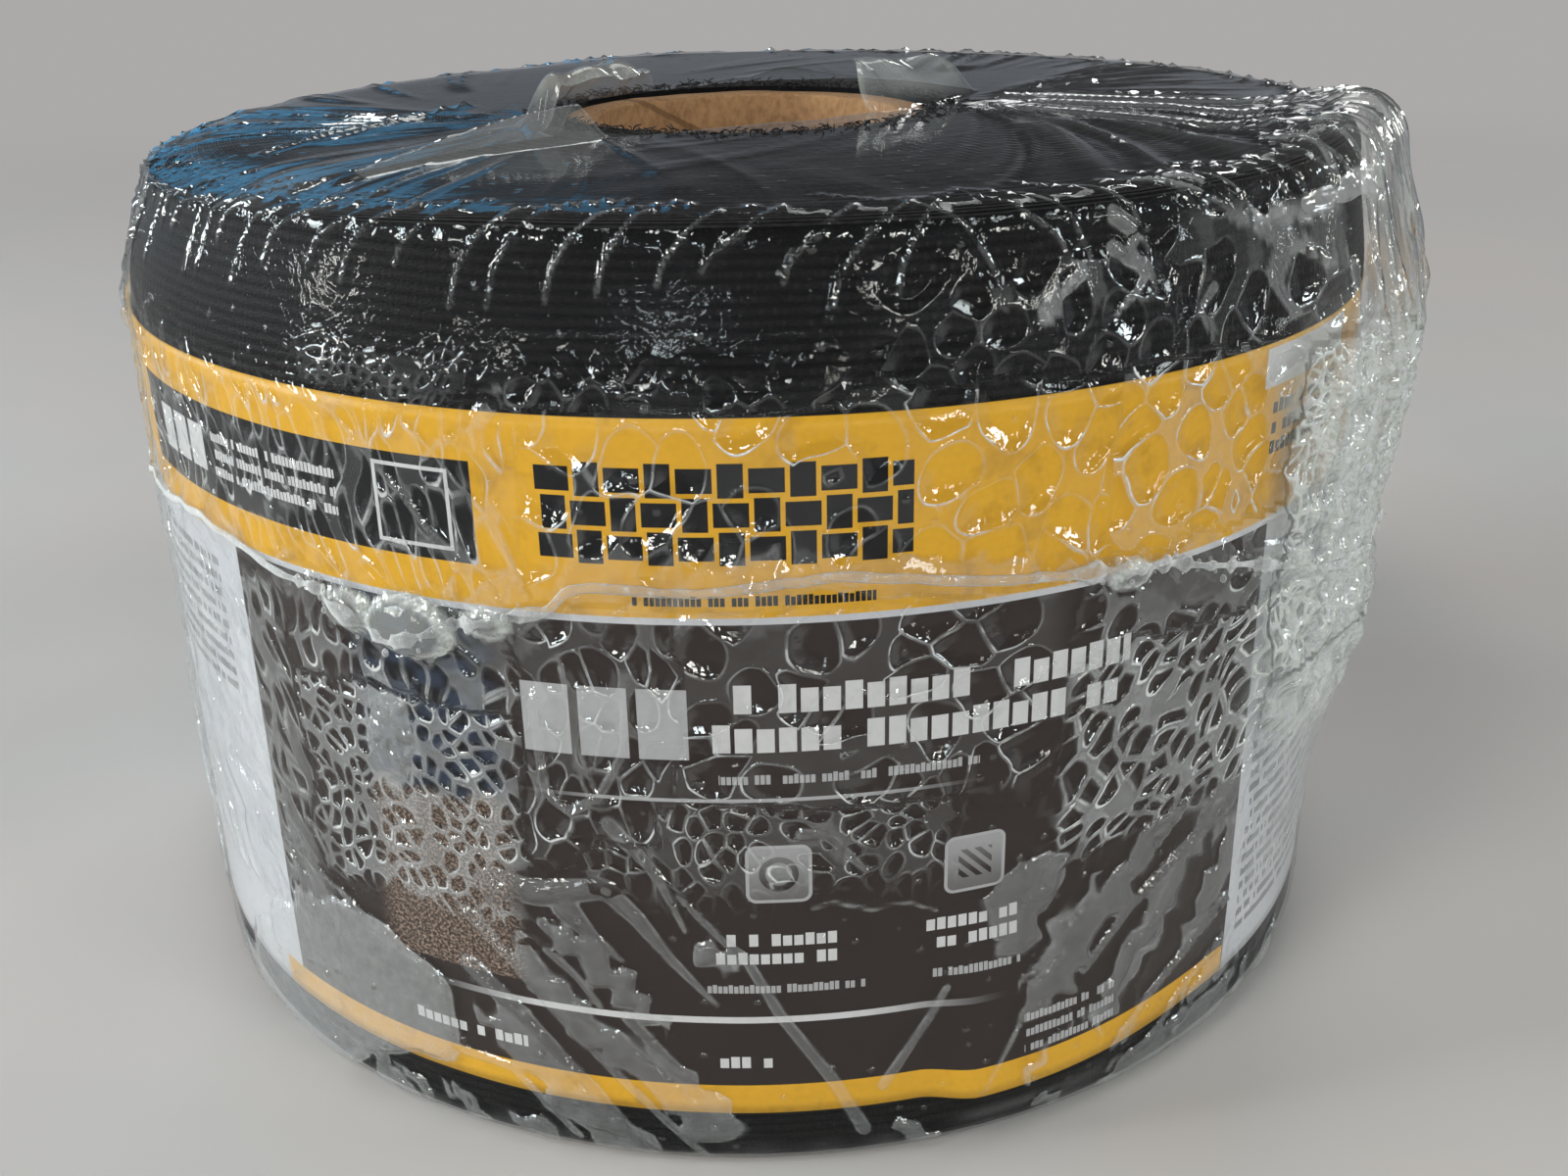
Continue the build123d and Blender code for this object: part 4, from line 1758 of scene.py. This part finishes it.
    def shape(self, turn: Field, run: Field) -> tuple[Field, dict[str, Field]]:
        """Lay the film on its section.

        Args:
            turn: Degrees round.
            run: The run up the section.

        Returns:
            The points, and the values that the finish reads.
        """
        m = self.meridian
        skin = self.relief(turn, run)
        flat = m.place(turn, run, np.zeros_like(run))
        x, y = flat[..., 0], flat[..., 1]
        top = Skin.flat(x.shape)
        top.lift = self.streaks(x, y)
        top.haze = 0.07 * smooth(top.lift, 0.12, 0.5)
        for fold in self.top_folds:
            fold.lay(x, y, top)
        on_top = smooth(run, m.rim_start, m.top_start + 4.0)
        fade = 1 - 0.8 * smooth(run, m.top_start + 8.0, m.top_start + 16.0)
        skin.lift = skin.lift * fade + top.lift * on_top
        past = run > m.top_start + 9.0
        skin.gap = np.where(past, top.gap, skin.gap)
        skin.veil = np.where(past, top.veil * 0.35, skin.veil)
        skin.line = np.where(past, top.line * 0.5, skin.line)
        skin.inside = skin.inside * (1 - on_top)
        skin.haze = skin.haze * (1 - on_top) + top.haze * on_top
        return m.place(turn, run, skin.lift), skin.painted()

    def curled(self, turn: Field, start: Field, share: Field) -> tuple[Field, Field]:
        """Carry the film on past the hole's line, curling up into its flaps.

        Args:
            turn: Degrees round.
            start: The points of the hole's line.
            share: How far along the flap each row is, from 1 at its tip to 0 at the line.

        Returns:
            The points, and how milky the film is.
        """
        extents = np.stack([flap.extent(turn) for flap in self.flaps])
        reach = extents.max(axis=0) + 0.9
        weight = extents + 0.05
        weight = weight / weight.sum(axis=0)
        height = (weight * np.array([flap.height for flap in self.flaps])[:, None]).sum(axis=0)
        droop = (weight * np.array([flap.droop for flap in self.flaps])[:, None]).sum(axis=0)
        raised = smooth(reach, 1.0, 7.0)
        ragged = Ripple(59, 30, 9.0)(turn, np.zeros_like(turn)) * smooth(reach, 1.0, 5.0)
        along = (reach + 0.6 * ragged)[None, :] * share[:, None]
        inward = along * (1 - 0.2 * raised)
        rise = (height * raised)[None, :] * np.sin(share[:, None] * droop[None, :])
        wave = Ripple(60, 26, 5.0)(turn[None, :] + np.zeros_like(along), along) * smooth(along, 1.0, 6.0)
        away = np.stack([np.sin(np.radians(turn)), -np.cos(np.radians(turn))], axis=-1)
        flat = start[None, :, :2] - away[None] * (inward + wave * 0.4)[..., None]
        points = np.concatenate([flat, (start[None, :, 2] + rise + wave * 0.8)[..., None]], axis=-1)
        edge = smooth(along, reach[None, :] - 0.9, reach[None, :])
        haze = 0.05 + 0.14 * edge + raised[None, :] * smooth(along, 0.5, 3.0) * (0.2 + 0.12 * wave)
        return points, haze + np.zeros_like(along)

    def upper_sheet(self) -> Object:
        """Make the upper sheet, from the flaps at the hole to the weld."""
        m = self.meridian
        turn = self.turns()
        edge = m.run_on_top(self.hole_at(turn))
        seam = self.seam_at(turn)
        top = np.linspace(0, 1, 46)[:-1, None]
        rim = np.linspace(0, 1, 11)[:-1, None]
        side = np.linspace(0, 1, 54)[:, None]
        run = np.concatenate([
            edge * (1 - top) + m.top_start * top,
            np.broadcast_to(m.top_start * (1 - rim) + m.rim_start * rim, (10, self.columns)),
            m.rim_start * (1 - side) + seam * side,
        ])
        points, values = self.shape(np.broadcast_to(turn, run.shape), run)
        tips, tip_haze = self.curled(turn, points[0], np.linspace(1, 0, 13)[:-1])
        flaps = Skin.flat(tip_haze.shape)
        flaps.haze = tip_haze
        painted = {key: np.concatenate([early, values[key]]) for key, early in flaps.painted().items()}
        piece = Piece.lathe("shrink_film_upper", np.concatenate([tips, points]), painted=painted)
        return Piece.dress(piece, self.finish.make(), "clear_film", "shrink_film")

    def lower_sheet(self) -> Object:
        """Make the lower sheet, from the weld down and in under the foot."""
        m = self.meridian
        turn = self.turns()
        seam = self.seam_at(turn)
        side = np.linspace(0, 1, 97)[:-1, None]
        heel = np.linspace(0, 1, 9)[:-1, None]
        sole = np.linspace(0, 1, 18)[:, None]
        inner = m.run_on_sole(31.0 + 1.2 * Ripple(63, 30, 9.0)(turn, np.zeros_like(turn)))
        run = np.concatenate([
            seam * (1 - side) + m.side_start * side,
            np.broadcast_to(m.side_start * (1 - heel) + m.sole_start * heel, (8, self.columns)),
            m.sole_start * (1 - sole) + inner * sole,
        ])
        points, values = self.shape(np.broadcast_to(turn, run.shape), run)
        piece = Piece.lathe("shrink_film_lower", points, painted=values)
        return Piece.dress(piece, self.finish.make(), "clear_film", "shrink_film")

    def weld(self) -> Object:
        """Run a melted bead along the weld, lumpy where the film shrank most."""
        turn = np.arange(900) / 900 * 360.0
        line, _ = self.shape(turn, self.seam_at(turn))
        a = around(turn, 0.0)
        far = (np.abs(a) > 64) * np.abs(Ripple(64, 12, 9.0)(turn, turn * 0))
        rough = plateau(a, -38, -15, 2) + plateau(a, 22, 64, 4) + far
        return Bead("shrink_film_weld", self.finish).build(line, np.clip(rough, 0, 1))

    def build(self) -> list[Object]:
        """Build and dress every piece of the film."""
        return [self.upper_sheet(), self.lower_sheet(), self.weld()]


@dataclass
class Bead:
    """A bead of melted film along a closed line."""

    name: str
    finish: FilmFinish
    radius: float = 0.27
    flatness: float = 2.2
    lumps: int = 640
    lump: float = 0.5

    def build(self, line: Field, rough: Field) -> Object:
        """Sweep the bead along a closed line and set small lumps on it.

        Args:
            line: The line's points, in millimetres.
            rough: How lumpy the bead is at each point, from 0 to 1.

        Returns:
            The piece.
        """
        mesh = bpy.data.meshes.new(self.name + "_line")
        count = len(line)
        mesh.from_pydata((line * MM).tolist(), [(i, (i + 1) % count) for i in range(count)], [])
        attribute = mesh.attributes.new("rough", "FLOAT", "POINT")
        attribute.data.foreach_set("value", rough.astype(np.float32))
        carrier = put_in_scene(self.name + "_line", mesh)
        sizes = {"radius": self.radius * MM, "flatness": self.flatness, "lump": self.lump * MM}
        tree = PointTree(self.name, sizes)
        curve = tree.make("MeshToCurve", Mesh=tree.entry.outputs["Geometry"])
        level = tree.node("GeometryNodeSetCurveNormal", {"mode": "Z_UP"}, {"Curve": curve})
        x, y, z = tree.where()
        noise = tree.noise(tree.vector(x, y, z), 420.0, 3.0)
        named = tree.node("GeometryNodeInputNamedAttribute", {"data_type": "FLOAT"}, {"Name": "rough"})
        roughness = Signal(tree, named.outputs[0])
        swell = (noise.ramp(0.4, 0.7, -0.3, 1.1) * roughness + 0.85) * (noise * 0.5 + 0.75)
        sized = tree.make("SetCurveRadius", Curve=level.outputs[0], Radius=swell)
        circle = tree.make("CurvePrimitiveCircle", Resolution=8, Radius=tree.size("radius"))
        profile = tree.make("Transform", Geometry=circle, Scale=tree.vector(0.7, tree.size("flatness"), 1.0))
        swept = tree.make("CurveToMesh", Curve=sized, Profile_Curve=profile, Scale=swell)
        count = {"Curve": level.outputs[0], "Count": self.lumps}
        points = tree.node("GeometryNodeResampleCurve", {"mode": "COUNT"}, count)
        aside, out = tree.random(-0.5 * MM, 0.5 * MM, 31), tree.random(-0.5 * MM, 0.5 * MM, 32)
        jitter = tree.vector(aside, out, tree.random(-1.6 * MM, 1.1 * MM, 33))
        moved = tree.make("SetPosition", Geometry=points.outputs[0], Offset=jitter)
        ball = tree.make("MeshIcoSphere", Radius=tree.size("lump"), Subdivisions=2)
        scale = tree.random(0.1, 0.8, 34) * tree.random(0.3, 1.0, 35) * roughness
        beads = tree.make(
            "InstanceOnPoints",
            Points=moved,
            Selection=roughness > 0.15,
            Instance=ball,
            Scale=tree.vector(scale, scale, scale * 1.4),
        )
        joined = tree.node("GeometryNodeJoinGeometry")
        for part in (swept, beads):
            tree.feed(joined.inputs[0], part)
        material = self.finish.weld()
        piece = tree.run(self.name, joined.outputs[0], material, carrier)
        return Piece.dress(piece, material, "clear_film", "shrink_film")


@dataclass
class Studio:
    """The floor, the lamps and the camera."""

    floor_colour: Colour = ink(207, 202, 199)
    floor_tint: Colour = ink(201, 201, 200)
    far_colour: Colour = ink(172, 170, 169)
    camera_place: tuple[float, float, float] = (2.71, -215.69, 128.36)
    lens: float = 37.69
    yaw: float = 0.0044
    pitch: float = 0.4075
    roll: float = 0.0196
    ring: tuple[tuple[float, float, float], ...] = (
        (-108, 16, 1.9), (-74, 13, 2.3), (-42, 17, 2.0), (-12, 12, 1.5),
        (20, 18, 1.5), (48, 13, 1.6), (80, 16, 1.8), (112, 20, 1.6),
    )
    ring_radius: float = 1.15

    def looked_at(self, graph: Graph) -> Signal:
        """Give 1 to a ray from the camera or through glass, less to a mirrored one, 0 to the rest."""
        path = graph.node("ShaderNodeLightPath")
        straight, mirrored, through = (
            Signal(graph, path.outputs[f"Is {kind} Ray"]) for kind in ("Camera", "Glossy", "Transmission")
        )
        return straight.maths("MAXIMUM", mirrored * 0.55).maths("MAXIMUM", through)

    def floor(self) -> Object:
        """Lay a wide pale floor."""
        s = Surface("pale_floor")
        x, y, z = s.place()
        tone = s.noise(s.vector(x, y, z), 0.01, 2.0)
        far = (x * x + y * y).maths("SQRT").ramp(260.0, 900.0)
        near = s.mix(tone.ramp(0.3, 0.7), self.floor_colour, self.floor_tint)
        s.set(
            Base_Color=s.mix(far, near, (0.0, 0.0, 0.0)),
            Roughness=0.6,
            Specular_IOR_Level=0.0,
            Emission_Color=s.mix(self.looked_at(s) * far, (0.0, 0.0, 0.0), self.far_colour),
            Emission_Strength=1.0,
        )
        mesh = bpy.data.meshes.new("floor")
        reach = 4.0
        corners = [(-reach, -reach, 0), (reach, -reach, 0), (reach, reach, 0), (-reach, reach, 0)]
        mesh.from_pydata(corners, [], [(0, 1, 2, 3)])
        s.material.cycles.emission_sampling = "NONE"
        mesh.materials.append(s.material)
        piece = put_in_scene("floor", mesh)
        return piece

    def lamp(
        self,
        name: str,
        place: tuple[float, float, float],
        size: tuple[float, float],
        power: float,
        colour: Colour,
        spread: float = 180.0,
    ) -> None:
        """Hang an area lamp that faces the roll.

        Args:
            name: Its name.
            place: Where it hangs, in metres.
            size: Its width and height, in metres.
            power: Its power, in watts.
            colour: Its light's colour.
            spread: How wide it shines, in degrees.
        """
        light = bpy.data.lights.new(name, "AREA")
        light.shape = "RECTANGLE"
        light.size, light.size_y = size
        light.energy = power
        light.color = colour
        light.spread = math.radians(spread)
        lamp = put_in_scene(name, light)
        lamp.location = place
        lamp.visible_camera = False
        lamp.rotation_euler = (Vector((0, 0, 0.05)) - Vector(place)).to_track_quat("-Z", "Y").to_euler()

    def lights(self) -> None:
        """Set the lamps and the room's own light."""
        self.lamp("key", (-0.45, -0.55, 1.05), (0.34, 0.26), 2.6, (1.0, 0.975, 0.94))
        self.lamp("fill", (0.75, -0.45, 0.85), (0.32, 0.24), 1.6, (0.94, 0.98, 0.97))
        self.lamp("side", (-1.1, -0.15, 0.5), (0.4, 0.34), 6.5, (0.9, 0.97, 1.0))
        self.lamp("window", (-0.6, 1.2, 0.6), (1.1, 0.4), 0.155, (0.12, 0.55, 1.0), 60.0)
        self.lamp("spark", (-0.35, 1.2, 0.95), (0.14, 0.06), 0.06, (1.0, 0.98, 0.95), 60.0)
        self.lamp("back", (0.55, 1.2, 0.8), (0.3, 0.07), 0.14, (1.0, 0.97, 0.95), 60.0)
        self.lamp("rear", (0.25, 0.85, 1.0), (0.5, 0.4), 2.0, (1.0, 0.98, 0.96))
        warm, cool = (1.0, 0.95, 0.88), (0.9, 0.97, 1.0)
        for index, (bearing, rise, power) in enumerate(self.ring):
            turn, tilt = math.radians(bearing), math.radians(rise)
            place = (
                self.ring_radius * math.sin(turn) * math.cos(tilt),
                -self.ring_radius * math.cos(turn) * math.cos(tilt),
                0.05 + self.ring_radius * math.sin(tilt),
            )
            self.lamp(f"ring_{index}", place, (0.2, 0.15), power, warm if index % 3 else cool)
        world = bpy.data.worlds.new("room")
        world.use_nodes = True
        sky = Graph(world.node_tree)
        _, _, up = sky.split(sky.node("ShaderNodeTexCoord").outputs["Generated"])
        background = next(n for n in world.node_tree.nodes if n.type == "BACKGROUND")
        seen = Signal(sky, sky.node("ShaderNodeLightPath").outputs["Is Camera Ray"])
        sky.feed(background.inputs["Color"], sky.mix(seen, (0.84, 0.9, 1.0), self.far_colour))
        sky.feed(background.inputs["Strength"], up.ramp(0.07, 0.19, 0.27, 0.03).maths("MAXIMUM", seen))
        bpy.context.scene.world = world
        bpy.context.scene.view_settings.view_transform = "Standard"

    def camera(self) -> None:
        """Place the camera where the photograph was taken from."""
        sin_yaw, cos_yaw = math.sin(self.yaw), math.cos(self.yaw)
        level = math.cos(self.pitch)
        forward = Vector((sin_yaw * level, cos_yaw * level, -math.sin(self.pitch)))
        right = Vector((cos_yaw, -sin_yaw, 0.0))
        down = forward.cross(right)
        c, s = math.cos(self.roll), math.sin(self.roll)
        right, down = c * right + s * down, c * down - s * right
        turn = Matrix((right, -down, -forward)).transposed()
        data = bpy.data.cameras.new("camera")
        data.lens = self.lens
        data.sensor_width = 36.0
        data.clip_start = 0.01
        eye = put_in_scene("camera", data)
        eye.matrix_world = Matrix.Translation(Vector(self.camera_place) * MM) @ turn.to_4x4()
        bpy.context.scene.camera = eye

    def build(self) -> None:
        """Build the whole set."""
        self.floor()
        self.lights()
        self.camera()


def main() -> None:
    """Build the set and the roll, at the sizes read from the frame."""
    logging.basicConfig(level=logging.INFO, format="%(message)s")
    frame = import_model()
    sizes = RollSizes.from_frame(frame)
    crease = Crease()
    Studio().build()
    for part in (WoundFabric(sizes), Core(sizes), PaperBand(sizes, crease), ShrinkFilm(sizes, crease)):
        names = [piece.name for piece in part.build()]
        log.info("%s built: %s", type(part).__name__, ", ".join(names))


if __name__ == "__main__":
    main()
